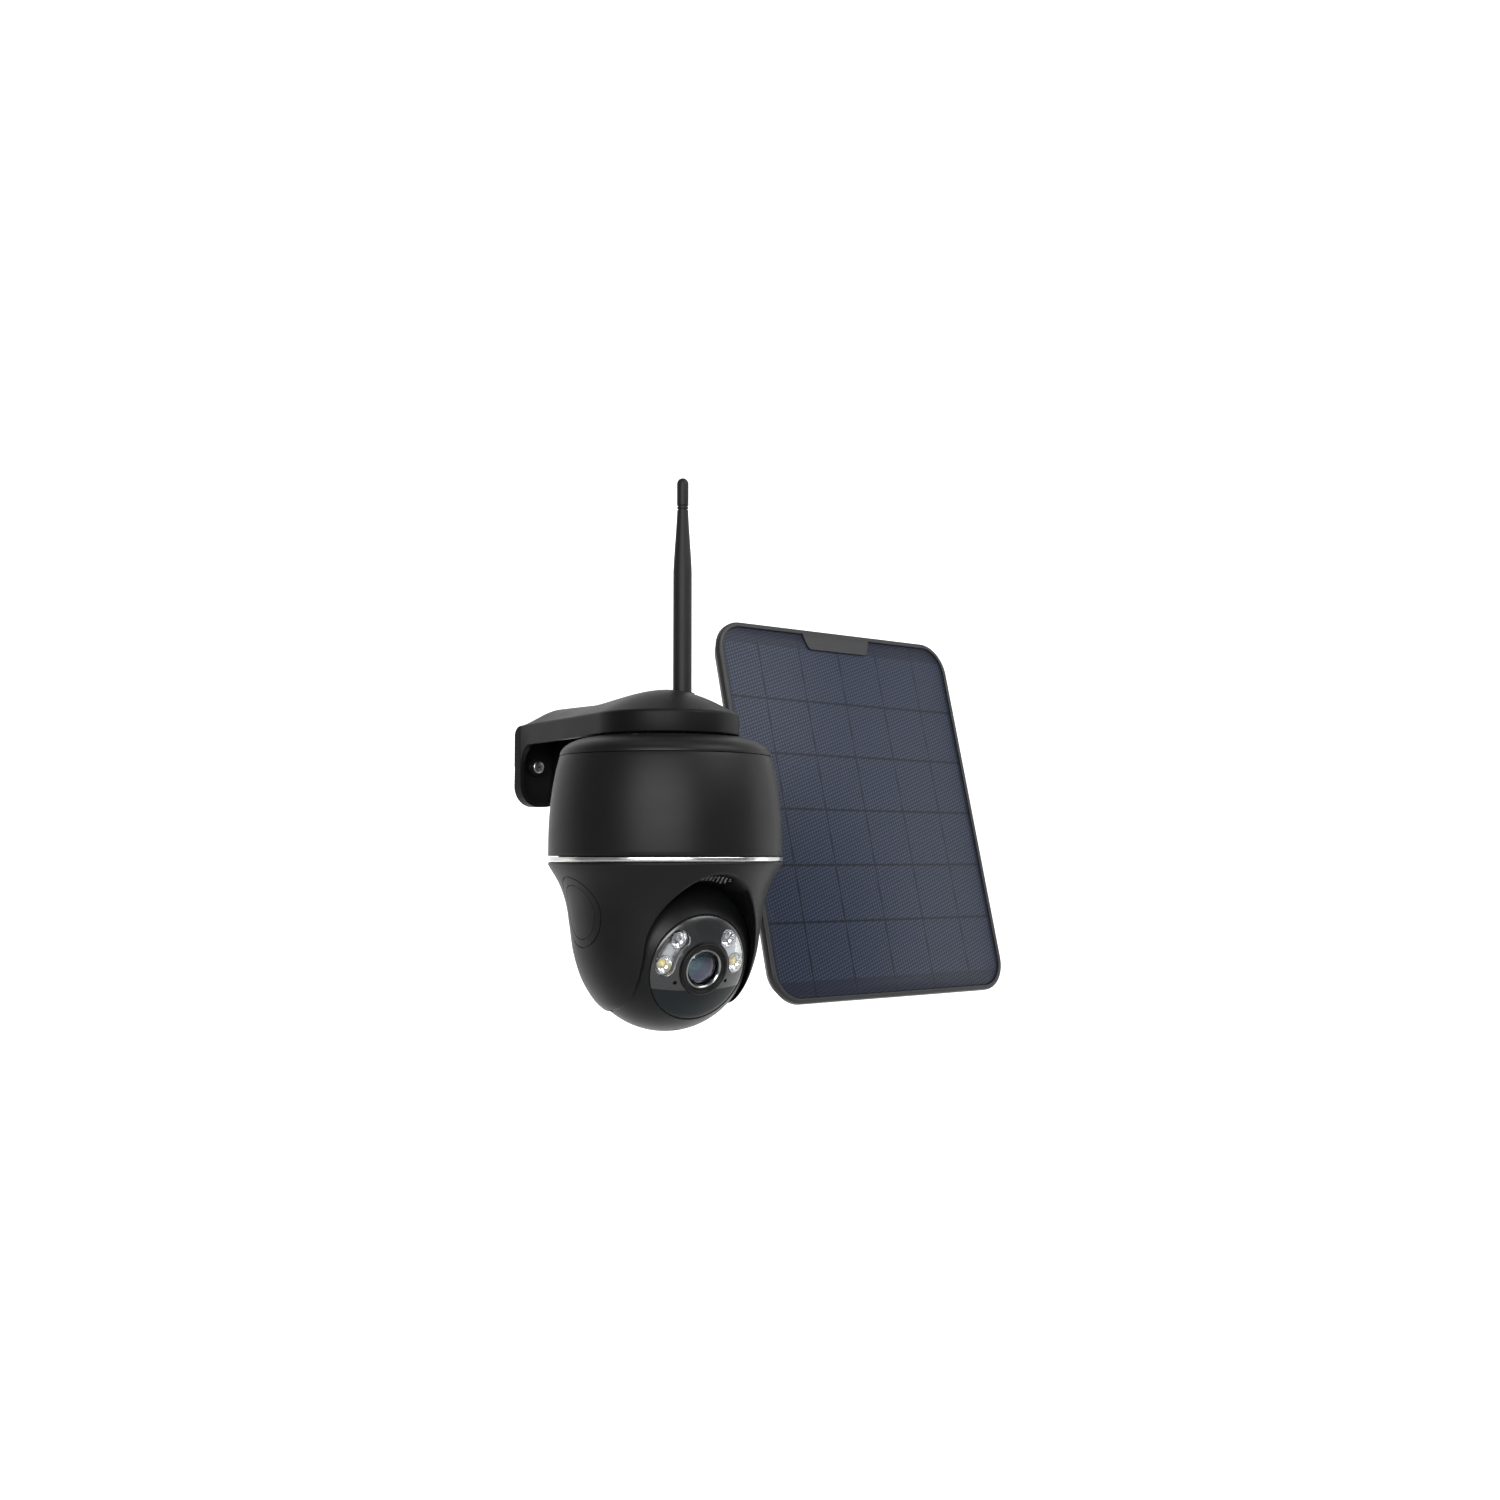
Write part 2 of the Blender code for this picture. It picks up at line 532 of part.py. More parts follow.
def opening_section(y):
    """Outline of the front opening: upright sides under a rounded arch that rises towards the front."""
    height = OPENING_HEIGHT - OPENING_FLARE * y
    top = arc(0, 0, 1.0, 0, 180, 12)
    shape = [(OPENING_HALF * x, BALL_Z + height * z) for x, z in top]
    shape = [(OPENING_HALF, -75.0)] + shape + [(-OPENING_HALF, -75.0)]
    return [(x, y, z) for x, z in shape]


def loft(first, second):
    bm = bmesh.new()
    a = [bm.verts.new(p) for p in first]
    b = [bm.verts.new(p) for p in second]
    bm.faces.new(a)
    bm.faces.new(b)
    for i in range(len(a)):
        j = (i + 1) % len(a)
        bm.faces.new((a[i], a[j], b[j], b[i]))
    return bm


def skin_band(outer_inset, inner_inset):
    curve = yoke_curve()[1:]
    return turned([(r - outer_inset, z) for r, z in curve] + [(r - inner_inset, z) for r, z in reversed(curve)])


def make_pan_head(look, pan):
    curve = yoke_curve()
    rim = math.sqrt(SOCKET_R ** 2 - (YOKE_BOTTOM_Z - BALL_Z) ** 2)
    top = math.sqrt(SOCKET_R ** 2 - (YOKE_TOP_Z - BALL_Z) ** 2)
    start = math.degrees(math.atan2(YOKE_BOTTOM_Z - BALL_Z, rim))
    end = math.degrees(math.atan2(YOKE_TOP_Z - BALL_Z, top))
    socket = arc(0, BALL_Z, SOCKET_R, start, end, 7)
    yoke = finish("yoke_shell", turned(curve + socket), look["housing"], pan)
    cut = loft(opening_section(-0.5), opening_section(-58))
    combine(yoke, finish("front_opening", cut, None, pan, cutter=True))
    combine(yoke, finish("speaker_pocket", drum(9.0, -7.2, 5), None, pan, (0, SPEAKER_Y, 0), cutter=True))
    for side in (-1, 1):
        name = "left" if side < 0 else "right"
        pocket = spin_to(drum(SIDE_COVER_R + GAP, 0, 20, 20), 'X')
        band = finish("cover_recess_" + name, skin_band(-3.0, 2.1), None, pan, cutter=True)
        combine(band, finish("cover_recess_edge_" + name, pocket, None, pan, (side * 38 - 10, 0, SIDE_COVER_Z),
                             (5, 0, 0), cutter=True), 'INTERSECT')
        combine(yoke, band)
        cover = finish("side_cover_" + name, skin_band(0.1, 1.7), look["housing"], pan)
        plug = spin_to(drum(SIDE_COVER_R, 0, 20, 20), 'X')
        combine(cover, finish("cover_edge_" + name, plug, None, pan, (side * 38 - 10, 0, SIDE_COVER_Z), (5, 0, 0),
                              cutter=True), 'INTERSECT')
        bore = spin_to(drum(AXLE_R + GAP, 33.0, 37.7), 'X')
        turn = (0, 0, 0) if side > 0 else (0, 0, 180)
        combine(yoke, finish("axle_bore_" + name, bore, None, pan, (0, 0, BALL_Z), turn, cutter=True))
        axle = turned([(0, 18.0), (AXLE_R, 18.0), (AXLE_R, 37.3), (0, 37.3)], SMALL_SEG)
        finish("tilt_axle_" + name, spin_to(axle, 'X'), look["steel"], pan, (0, 0, BALL_Z), turn)
    close_cuts(yoke)
    finish("speaker", drum(8.6, -6.8, -2.5), look["motor"], pan, (0, SPEAKER_Y, 0))
    table = [(4.0, -1.3), (35.0, -1.3), (35.0, -1.8), (42.3, -1.8), (42.3, 0.4), (11.6, 0.4), (11.6, 4.0),
             (7.0, 4.0), (7.0, 8.6), (4.0, 8.6)]
    finish("turntable", turned(table, 28), look["housing"], pan)
    ring = gear(PAN_TEETH, PAN_MODULE, 4.3, 7.5, 7.3)
    finish("pan_gear", ring, look["gear"], pan)
    wheel = gear(TILT_TEETH, TILT_MODULE, *TILT_GEAR_X, AXLE_R + GAP)
    finish("tilt_gear", spin_to(wheel, 'X'), look["gear"], pan, (0, 0, BALL_Z))


def make_pinions(look, base, tilt):
    turn = mesh_turn(PAN_PINION_ANGLE, PAN_TEETH, PAN_PINION_TEETH, PAN_REST)
    bm = gear(PAN_PINION_TEETH, PAN_MODULE, 4.3, 9.2, 0, turn)
    finish("pan_pinion", bm, look["brass"], base, pan_pinion_place())
    distance = (TILT_TEETH + TILT_PINION_TEETH) * TILT_MODULE / 2 + CENTRE_SLACK
    tooth = 360 / TILT_TEETH
    turn = 180 / TILT_PINION_TEETH + (TILT_REST - tooth) * TILT_TEETH / TILT_PINION_TEETH
    bm = gear(TILT_PINION_TEETH, TILT_MODULE, TILT_GEAR_X[0] - 0.8, TILT_GEAR_X[1], 0, turn)
    finish("tilt_pinion", spin_to(bm, 'X'), look["brass"], tilt, (0, distance, 0))
    finish("tilt_motor", spin_to(drum(6.2, 9.0, TILT_GEAR_X[0] - 1.1), 'X'), look["motor"], tilt, (0, distance, 0))


# ---------------------------------------------------------------- tilting ball
def face_y(radius, inset=0.0):
    """Front surface of the convex faceplate at a radius from the lens axis."""
    centre = FACE_EDGE_Y + math.sqrt(FACE_CURVE_R ** 2 - FACE_R ** 2)
    return centre - math.sqrt((FACE_CURVE_R - inset) ** 2 - radius ** 2)


def ball_shell(front):
    """Half of the ball, turned about Z with the lens side towards +Z."""
    inner = BALL_R - BALL_WALL
    mouth = FACE_R + GAP
    if front:
        start = math.degrees(math.atan2(-BALL_SEAM_Y, math.sqrt(BALL_R ** 2 - BALL_SEAM_Y ** 2)))
        end = math.degrees(math.acos(mouth / BALL_R))
        outer = arc(0, 0, BALL_R, start, end, 6)
        start_in = math.degrees(math.atan2(-BALL_SEAM_Y, math.sqrt(inner ** 2 - BALL_SEAM_Y ** 2)))
        end_in = math.degrees(math.acos(mouth / inner))
        return turned(outer + list(reversed(arc(0, 0, inner, start_in, end_in, 3))), 36)
    seam = BALL_SEAM_Y + GAP
    start = math.degrees(math.atan2(-seam, math.sqrt(BALL_R ** 2 - seam ** 2)))
    start_in = math.degrees(math.atan2(-seam, math.sqrt(inner ** 2 - seam ** 2)))
    outer = arc(0, 0, BALL_R, start, -90, 6)
    closed = outer[:-1] + [(0, -BALL_R), (0, -inner)] + list(reversed(arc(0, 0, inner, start_in, -90, 3)))[1:]
    return turned(closed, 36)


def towards_lens(bm):
    """Turns a shape made along +Z so that +Z points along the lens axis, -Y, and +Y stays up as +Z."""
    bmesh.ops.transform(bm, matrix=Matrix.Rotation(math.radians(90), 4, 'X'), verts=bm.verts)
    return bm


def bean(side, half, steps=4):
    """Outline of a light window: a band bent round the lens with round ends."""
    radius, low, high = LIGHT_R, 5.0, 48.0
    outer = arc(0, 0, radius + half, low, high, steps)
    inner = arc(0, 0, radius - half, high, low, steps)
    centre = lambda a: (radius * math.cos(math.radians(a)), radius * math.sin(math.radians(a)))
    top = arc(*centre(high), half, high, high + 180, 5)[1:-1]
    bottom = arc(*centre(low), half, low + 180, low + 360, 5)[1:-1]
    return [(side * x, y) for x, y in outer + top + inner + bottom]


def face_disc(thickness_low, thickness_high, radius, segments=36):
    """Convex disc between two depths behind the face surface, made with the lens direction at +Z."""
    steps = 3
    radii = [radius * i / steps for i in range(steps + 1)]
    front = [(r, -face_y(r) - thickness_low) for r in reversed(radii)]
    back = [(r, -face_y(r) - thickness_high) for r in radii]
    return turned(back + front, segments)


def make_ball(look, tilt):
    front = finish("ball_front_shell", towards_lens(ball_shell(True)), look["housing"], tilt)
    for side in (-1, 1):
        bore = spin_to(drum(AXLE_R + 0.5, 30 if side > 0 else -40, 40 if side > 0 else -30), 'X')
        combine(front, finish("trunnion_bore_%d" % side, bore, None, tilt, cutter=True))
    finish("ball_rear_shell", towards_lens(ball_shell(False)), look["housing"], tilt)
    face = finish("faceplate", towards_lens(face_disc(0, 2.2, FACE_R)), look["face"], tilt)
    lens_hole = drum(BEZEL_R + GAP, 0, 60, 24)
    bmesh.ops.translate(lens_hole, vec=(0, LENS_UP, 0), verts=lens_hole.verts)
    combine(face, finish("lens_hole", towards_lens(lens_hole), None, tilt, cutter=True))
    lower = block((-30, -30, 20), (30, PIR_TOP + GAP, 50))
    combine(face, finish("pir_gap", towards_lens(lower), None, tilt, cutter=True))
    pir = finish("pir_window", towards_lens(face_disc(0.15, 2.2, FACE_R)), look["pir"], tilt)
    upper = block((-30, PIR_TOP, 10), (30, 40, 50))
    combine(pir, finish("pir_limit", towards_lens(upper), None, tilt, cutter=True))
    lens_gap = drum(BEZEL_R + GAP, 0, 60, 24)
    bmesh.ops.translate(lens_gap, vec=(0, LENS_UP, 0), verts=lens_gap.verts)
    combine(pir, finish("pir_lens_gap", towards_lens(lens_gap), None, tilt, cutter=True))
    for side, name in ((-1, "left"), (1, "right")):
        hole = prism(bean(side, LIGHT_HALF + GAP), 10, 50)
        combine(face, finish("light_hole_" + name, towards_lens(hole), None, tilt, cutter=True))
        pane = prism(bean(side, LIGHT_HALF), 10, 50)
        window = finish("light_window_" + name, towards_lens(pane), look["window"], tilt)
        slab = face_disc(0.1, 1.3, FACE_R)
        combine(window, finish("window_slab_" + name, towards_lens(slab), None, tilt, cutter=True), 'INTERSECT')
        for kind, angle, chip_look in (("infrared", 47.0, "chip_ir"), ("white", 7.0, "chip_white")):
            spot = (side * LIGHT_R * math.cos(math.radians(angle)), -26.1, LIGHT_R * math.sin(math.radians(angle)))
            chip = turned([(0, 0), (2.4, 0), (2.4, 0.3), (1.3, 0.8), (0, 0.9)], SMALL_SEG)
            finish("%s_led_%s" % (kind, name), towards_lens(chip), look[chip_look], tilt, spot)
        bore = drum(0.8, 10, 50)
        combine(face, finish("sound_hole_" + name, towards_lens(bore), None, tilt, (side * 11.9, 0, -5.0),
                             cutter=True))
    lift = (0, 0, LENS_UP)
    bezel = turned([(8.4, 24.0), (BEZEL_R, 24.0), (BEZEL_R, 32.8), (8.4, 32.4)], 24)
    finish("lens_bezel", towards_lens(bezel), look["face"], tilt, lift)
    ring = turned([(7.3, 29.6), (8.1, 29.6), (8.1, 32.0), (7.3, 32.0)], 24)
    finish("lens_ring", towards_lens(ring), look["chrome"], tilt, lift)
    barrel = turned([(0, 8.0), (7.0, 8.0), (7.0, 28.6), (0, 28.6)], SMALL_SEG)
    finish("lens_barrel", towards_lens(barrel), look["motor"], tilt, lift)
    dome = [(7.0 * math.sin(t), 29.0 + 2.6 * math.cos(t)) for t in [math.pi / 2 * i / 4 for i in range(5)]]
    glass = turned([(0, 29.0)] + list(reversed(dome))[:-1] + [(0, 31.6)], SMALL_SEG)
    finish("lens_glass", towards_lens(glass), look["glass"], tilt, lift)
    board = finish("image_board", towards_lens(drum(19.0, 23.4, 24.8, 20)), look["board"], tilt)
    hole = drum(11.5, 20, 30, SMALL_SEG)
    combine(board, finish("board_hole", towards_lens(hole), None, tilt, lift, cutter=True))
    finish("motion_sensor", towards_lens(drum(4.2, 26.1, 26.6, SMALL_SEG)), look["motor"], tilt, (0, 0, -14.5))


# ---------------------------------------------------------------- solar panel and its bracket
def panel_outline(inset):
    return rounded_rectangle(PANEL_W - 2 * inset, PANEL_H - 2 * inset, PANEL_CORNER - inset)


def upright(bm):
    """Stands a flat shape up: its +Y becomes +Z and its +Z, the thickness, runs towards the front."""
    bmesh.ops.transform(bm, matrix=Matrix.Rotation(math.radians(90), 4, 'X'), verts=bm.verts)
    return bm


def make_panel_bracket(look, post, swivel):
    plate = upright(prism(rounded_rectangle(46, 64, 10), 0.0, 4.0))
    base = finish("panel_wall_base", plate, look["bracket"], post)
    for side in (-1, 1):
        lug = [(-8, 0), (-8, 14)] + arc(0, 14, 8.0, 180, 0, 12)[1:-1] + [(8, 14), (8, 0)]
        low = 8.3 if side > 0 else -13.3
        ear = prism([(x, -max(y, 1.0)) for x, y in lug], low, low + 5)
        combine(base, finish("lug_%d" % side, ear, None, post, cutter=True), 'UNION')
        screw_spot = (0, 0, side * PANEL_SCREW_Z)
        hole = spin_to(drum(2.2, -10, 2), 'Y')
        combine(base, finish("base_hole_%d" % side, hole, None, post, screw_spot, cutter=True))
        screw = turned([(0, -6.6), (2.4, -6.3), (3.6, -4.3), (1.8, -4.3), (1.8, -0.3), (0, -0.3)], SMALL_SEG)
        number = 1 if side > 0 else 2
        finish("panel_base_screw_%d" % number, spin_to(screw, 'Y'), look["steel"], post, screw_spot)
    combine(base, finish("swivel_bore", drum(2.8, -20, 20), None, post, (0, SWIVEL_Y, 0), cutter=True))
    pin = turned([(0, -14.5), (2.5, -14.5), (2.5, 13.6), (4.2, 13.6), (4.2, 15.6), (0, 15.6)], SMALL_SEG)
    finish("swivel_pin", pin, look["steel"], post, (0, SWIVEL_Y, 0))

    tilt_y = PANEL_FACE_Y + PANEL_TILT_BACK - SWIVEL_Y
    knuckle = arc(0, 0, 7.0, 20, 160, 12)
    arm = prism([(6, tilt_y), (6, -3.6)] + knuckle + [(-6, -3.6), (-6, tilt_y)], -7.8, 7.8)
    arm = finish("swivel_arm", arm, look["bracket"], swivel)
    combine(arm, finish("arm_pin_bore", drum(2.8, -20, 20), None, swivel, cutter=True))
    nose = spin_to(drum(7.7, -5.9, 5.9), 'X')
    combine(arm, finish("arm_nose", nose, None, swivel, (0, tilt_y, 0), cutter=True), 'UNION')
    combine(arm, finish("arm_bolt_bore", spin_to(drum(2.8, -20, 20), 'X'), None, swivel, (0, tilt_y, 0),
                        cutter=True))


def make_panel(look, lean):
    """The panel's empty is on the tilt axis; the face is PANEL_TILT_BACK in front of it."""
    face = PANEL_TILT_BACK
    outline = panel_outline(0)
    frame = finish("panel_frame", upright(prism(outline, face - 3.2, face)), look["frame"], lean)
    window = prism(panel_outline(PANEL_RIM), face - 10, face + 10)
    combine(frame, finish("frame_window", upright(window), None, lean, cutter=True))
    top = PANEL_H / 2 - PANEL_RIM
    tab = [(-24.0, top + 0.6), (-21.5, top - 5.4)] + arc(-18.2, top - 5.3, 3.2, 190, 270, 4)
    tab += arc(18.2, top - 5.3, 3.2, 270, 350, 4) + [(21.5, top - 5.4), (24.0, top + 0.6)]
    combine(frame, finish("tab", upright(prism(tab, face - 0.8, face + 0.1)), None, lean, cutter=True), 'UNION')
    sheet = prism(panel_outline(PANEL_RIM + GAP), face - 2.9, face - 1.1)
    finish("solar_laminate", upright(sheet), look["cells"], lean)

    back = face - 3.5
    depth = 6.0
    outer = panel_outline(1.2)
    inner = panel_outline(5.0)
    case = loft([(x, y, back) for x, y in outer], [(x, y, back - depth) for x, y in inner])
    case = finish("panel_back_case", upright(case), look["case"], lean)
    tray = loft([(x, y, back + 1) for x, y in panel_outline(3.4)],
                [(x, y, back - depth + 2.0) for x, y in panel_outline(6.4)])
    combine(case, finish("case_hollow", upright(tray), None, lean, cutter=True))
    combine(case, finish("gland_bore", upright(drum(3.6, 0, back - depth + 4)), None, lean, (0, 0, GLAND_Z),
                         cutter=True))
    gland = turned([(1.6, back - depth - 6.0), (4.2, back - depth - 6.0), (5.4, back - depth - 5.0),
                    (5.4, back - depth - 0.3), (3.3, back - depth - 0.3), (3.3, back - depth + 1.8),
                    (1.6, back - depth + 1.8)], SMALL_SEG)
    finish("cable_gland", upright(gland), look["rubber"], lean, (0, 0, GLAND_Z))

    foot_top = back - depth - GAP
    foot = finish("panel_clevis", upright(prism(rounded_rectangle(34, 44, 6), foot_top - 3.0, foot_top)),
                  look["bracket"], lean)
    for side in (-1, 1):
        near, far = sorted((side * 6.3, side * 10.8))
        ear = [(-8.5, foot_top - 1), (-8.5, 0)] + arc(0, 0, 8.5, 180, 360, 12)[1:-1] + [(8.5, 0), (8.5, foot_top - 1)]
        cheek = prism([(-y, z) for y, z in ear], near, far)
        lay = Matrix(((0, 0, 1, 0), (0, -1, 0, 0), (1, 0, 0, 0), (0, 0, 0, 1)))
        bmesh.ops.transform(cheek, matrix=lay, verts=cheek.verts)
        combine(foot, finish("cheek_%d" % side, cheek, None, lean, cutter=True), 'UNION')
    combine(foot, finish("clevis_bore", spin_to(drum(2.8, -20, 20), 'X'), None, lean, cutter=True))
    bolt = turned([(0, -15.2), (4.4, -15.2), (4.4, -11.1), (2.5, -11.1), (2.5, 16.0), (0, 16.0)], SMALL_SEG)
    finish("tilt_bolt", spin_to(bolt, 'X'), look["steel"], lean)


def main():
    clear_scene()
    look = looks()
    base = empty("camera_base", PAN_AXIS)
    pan = empty("pan_axis", (0, 0, 0), (0, 0, PAN_REST), base)
    tilt = empty("tilt_axis", (0, 0, BALL_Z), (TILT_REST, 0, 0), pan)
    make_bracket(look, base)
    make_bracket_hardware(look, base)
    make_barrel(look, base)
    make_barrel_inside(look, base)
    make_pan_head(look, pan)
    make_pinions(look, base, tilt)
    make_ball(look, tilt)
    post = empty("panel_post", (PANEL_X, 0, PANEL_Z))
    swivel = empty("swivel_axis", (0, SWIVEL_Y, 0), (0, 0, 0), post)
    lean = empty("panel_tilt_axis", (0, PANEL_FACE_Y + PANEL_TILT_BACK - SWIVEL_Y, 0), (-PANEL_LEAN, 0, 0), swivel)
    make_panel_bracket(look, post, swivel)
    make_panel(look, lean)
    bpy.context.view_layer.update()


main()
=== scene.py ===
"""Looks for the solar-powered pan and tilt camera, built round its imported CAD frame.

Meshes are written in millimetres, each in the frame of the body it rides on, and turned into metres as they
are made.  Heights on the camera are measured from the waist ring's top plane, as in the part's own source.
"""
import json
import math

import bmesh
import bpy
from mathutils import Matrix, Vector


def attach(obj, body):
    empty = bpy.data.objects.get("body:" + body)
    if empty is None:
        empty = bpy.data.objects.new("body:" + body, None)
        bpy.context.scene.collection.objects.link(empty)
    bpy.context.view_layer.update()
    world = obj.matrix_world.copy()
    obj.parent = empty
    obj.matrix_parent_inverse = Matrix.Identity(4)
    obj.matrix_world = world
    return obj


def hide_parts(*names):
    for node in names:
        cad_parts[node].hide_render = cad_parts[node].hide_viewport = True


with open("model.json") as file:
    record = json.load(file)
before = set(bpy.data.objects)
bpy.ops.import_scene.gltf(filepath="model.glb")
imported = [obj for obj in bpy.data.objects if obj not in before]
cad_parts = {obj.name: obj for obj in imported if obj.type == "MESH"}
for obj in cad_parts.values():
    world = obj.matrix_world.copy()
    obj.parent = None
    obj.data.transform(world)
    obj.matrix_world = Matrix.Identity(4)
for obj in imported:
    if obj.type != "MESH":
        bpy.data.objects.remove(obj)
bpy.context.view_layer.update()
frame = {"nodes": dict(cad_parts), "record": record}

MM = 0.001

# ---- dimensions, as in the CAD part
REACH, WAIST_DROP = 94.0, 31.0
PAN_REST, TILT_REST = -9.6, 16.0
RING_R, RING_H = 49.2, 1.7
BARREL_R, BARREL_TOP_R, BARREL_TOP_Z, BARREL_BULGE = 49.0, 44.4, 42.0, 2.6
COVER_TOP_Z, COVER_FLAT_R, COVER_SCREW_R = 50.2, 27.0, 34.0
COVER_SCREW_ANGLES = (29.0, 119.0, 209.0, 299.0)
CAP_R, CAP_BOTTOM_Z, CAP_SIDE_Z, CAP_CROWN, ARM_CROWN, ARM_DROP = 31.0, 50.6, 59.5, 10.9, 7.2, 23.0
LEG_HALF, LEG_BOTTOM_Z, LEG_DEPTH, LEG_CORNER, WEB_R, WALL_CORNER = 11.5, 22.8, 5.0, 9.5, 10.0, 4.0
WALL_SCREW = (-2.5, 41.0)
ANTENNA, ANTENNA_R, ANTENNA_TIP_R = (12.0, 3.5), 4.0, 2.4
ANTENNA_TAPER_Z, ANTENNA_TOP_Z, COLLAR_SEAT_Z = (122.0, 148.7), 163.0, 66.6
BALL_R, BALL_Z, BALL_SEAM_Y, SOCKET_R = 35.3, -37.0, 8.0, 36.0
FACE_R, FACE_EDGE_Y, FACE_CURVE_R = 22.0, -27.5, 50.0
YOKE_TOP_Z, YOKE_BOTTOM_Z = -2.1, -63.2
OPENING_HALF, OPENING_HEIGHT, OPENING_FLARE = 26.2, 22.0, 0.18
OPENING_BACK_Y, OPENING_FRONT_Y = -0.5, -58.0
SIDE_COVER_R, SIDE_GROOVE_R, SIDE_COVER_Z = 10.9, 14.3, -22.4
SPEAKER_Y, SPEAKER_ROWS, SPEAKER_COLUMNS = -35.0, 5, 10
PIR_TOP, BEZEL_R, LENS_UP, LIGHT_R, LIGHT_HALF = -8.4, 10.9, 0.8, 16.7, 3.9
BUTTON_ANGLE, BUTTON_Z, BUTTON_SEAT_R = 24.0, 14.0, 48.4
PANEL_X, PANEL_Z, PANEL_FACE_Y, PANEL_LEAN = 154.0, -13.5, -64.0, 13.5
PANEL_W, PANEL_H, PANEL_CORNER, PANEL_RIM = 161.5, 184.5, 16.0, 2.4
PANEL_TILT_BACK, SWIVEL_Y, PANEL_SCREW_Z, GLAND_Z = 23.5, -14.0, 24.0, -38.0
GAP, SHELL = 0.3, 2.0      # clearance between parts that move, and the housings' thickness
FINE, ROUND = 160, 72      # facets round large and small turned pieces


# ---- the bodies' frames at rest
def turn(degrees, axis):
    return Matrix.Rotation(math.radians(degrees), 4, axis)


def shift(x, y, z):
    return Matrix.Translation(Vector((x, y, z)) * MM)


BASE = shift(0, -REACH, -WAIST_DROP)
PAN = BASE @ turn(PAN_REST, 'Z')
TILT = PAN @ shift(0, 0, BALL_Z) @ turn(TILT_REST, 'X')
LENS = TILT @ turn(90, 'X')           # +Z runs out along the lens axis, +Y is up
LENS_CENTRE = LENS @ shift(0, LENS_UP, 0)
POST = shift(PANEL_X, 0, PANEL_Z)
SWIVEL = POST @ shift(0, SWIVEL_Y, 0)
LEAN = SWIVEL @ shift(0, PANEL_FACE_Y + PANEL_TILT_BACK - SWIVEL_Y, 0) @ turn(-PANEL_LEAN, 'X')
FACE = LEAN @ turn(90, 'X')           # +Z runs out of the panel's face, +Y is up


# ---- mesh helpers
def arc(cx, cy, radius, start, end, steps):
    angles = [math.radians(start + (end - start) * i / steps) for i in range(steps + 1)]
    return [(cx + radius * math.cos(a), cy + radius * math.sin(a)) for a in angles]


def fillet(outline, steps=4):
    """Rounds the corners of a closed outline of (x, y) or (x, y, corner radius) points."""
    out = []
    for i, point in enumerate(outline):
        radius = point[2] if len(point) > 2 else 0.0
        here = Vector(point[:2])
        before = Vector(outline[i - 1][:2]) - here
        after = Vector(outline[(i + 1) % len(outline)][:2]) - here
        angle = before.angle(after, 0.0)
        if radius <= 0 or angle > 3.05 or angle < 0.02:
            out.append(tuple(here))
            continue
        cut = min(radius / math.tan(angle / 2), before.length * 0.48, after.length * 0.48)
        radius = cut * math.tan(angle / 2)
        before.normalize()
        after.normalize()
        centre = here + (before + after).normalized() * (radius / math.sin(angle / 2))
        u = here + before * cut - centre
        v = here + after * cut - centre
        whole = u.angle(v)
        for k in range(steps + 1):
            t = k / steps
            point = (math.sin((1 - t) * whole) * u + math.sin(t * whole) * v) / math.sin(whole)
            out.append(tuple(centre + point))
    return out


def turned(profile, segments=FINE):
    """Solid of revolution about Z from a closed (radius, z) outline."""
    bm = bmesh.new()
    rings = []
    for radius, z in profile:
        if radius < 1e-6:
            rings.append([bm.verts.new((0, 0, z))])
            continue
        angles = [2 * math.pi * i / segments for i in range(segments)]
        rings.append([bm.verts.new((radius * math.cos(a), radius * math.sin(a), z)) for a in angles])
    for first, second in zip(rings, rings[1:] + rings[:1]):
        if len(first) == 1 and len(second) == 1:
            continue
        for i in range(segments):
            j = (i + 1) % segments
            corners = [first[i % len(first)], first[j % len(first)],
                       second[j % len(second)], second[i % len(second)]]
            bm.faces.new(list(dict.fromkeys(corners)))
    return bm


def stack(rings, closed=False):
    """Skin over rings of 3-D points; closed joins the last ring to the first, else both ends are capped."""
    bm = bmesh.new()
    made = [[bm.verts.new(p) for p in ring] for ring in rings]
    pairs = list(zip(made, made[1:]))
    if closed:
        pairs.append((made[-1], made[0]))
    else:
        bm.faces.new(made[0])
        bm.faces.new(made[-1])
    for first, second in pairs:
        for i in range(len(first)):
            j = (i + 1) % len(first)
            bm.faces.new((first[i], first[j], second[j], second[i]))
    return bm


def prism(outline, low, high, bevel=0.0):
    """Upright prism over an outline, with its rims bevelled."""
    bm = stack([[(x, y, low) for x, y in outline], [(x, y, high) for x, y in outline]])
    if bevel:
        rims = [e for e in bm.edges if abs(e.verts[0].co.z - e.verts[1].co.z) < 1e-6]
        bmesh.ops.bevel(bm, geom=rims, offset=bevel, segments=3, profile=0.5, affect='EDGES',
                        clamp_overlap=True)
    return bm


def block(low, high):
    outline = [(low[0], low[1]), (high[0], low[1]), (high[0], high[1]), (low[0], high[1])]
    return prism(outline, low[2], high[2])


def rounded_rectangle(width, height, corner, steps=10):
    x, y = width / 2 - corner, height / 2 - corner
    return (arc(x, y, corner, 0, 90, steps) + arc(-x, y, corner, 90, 180, steps)
            + arc(-x, -y, corner, 180, 270, steps) + arc(x, -y, corner, 270, 360, steps))


def drum(radius, low, high, segments=ROUND):
    return turned([(0, low), (radius, low), (radius, high), (0, high)], segments)


def lay(bm, matrix):
    bmesh.ops.transform(bm, matrix=matrix, verts=bm.verts)
    return bm


def moved(bm, x, y, z):
    return lay(bm, Matrix.Translation((x, y, z)))


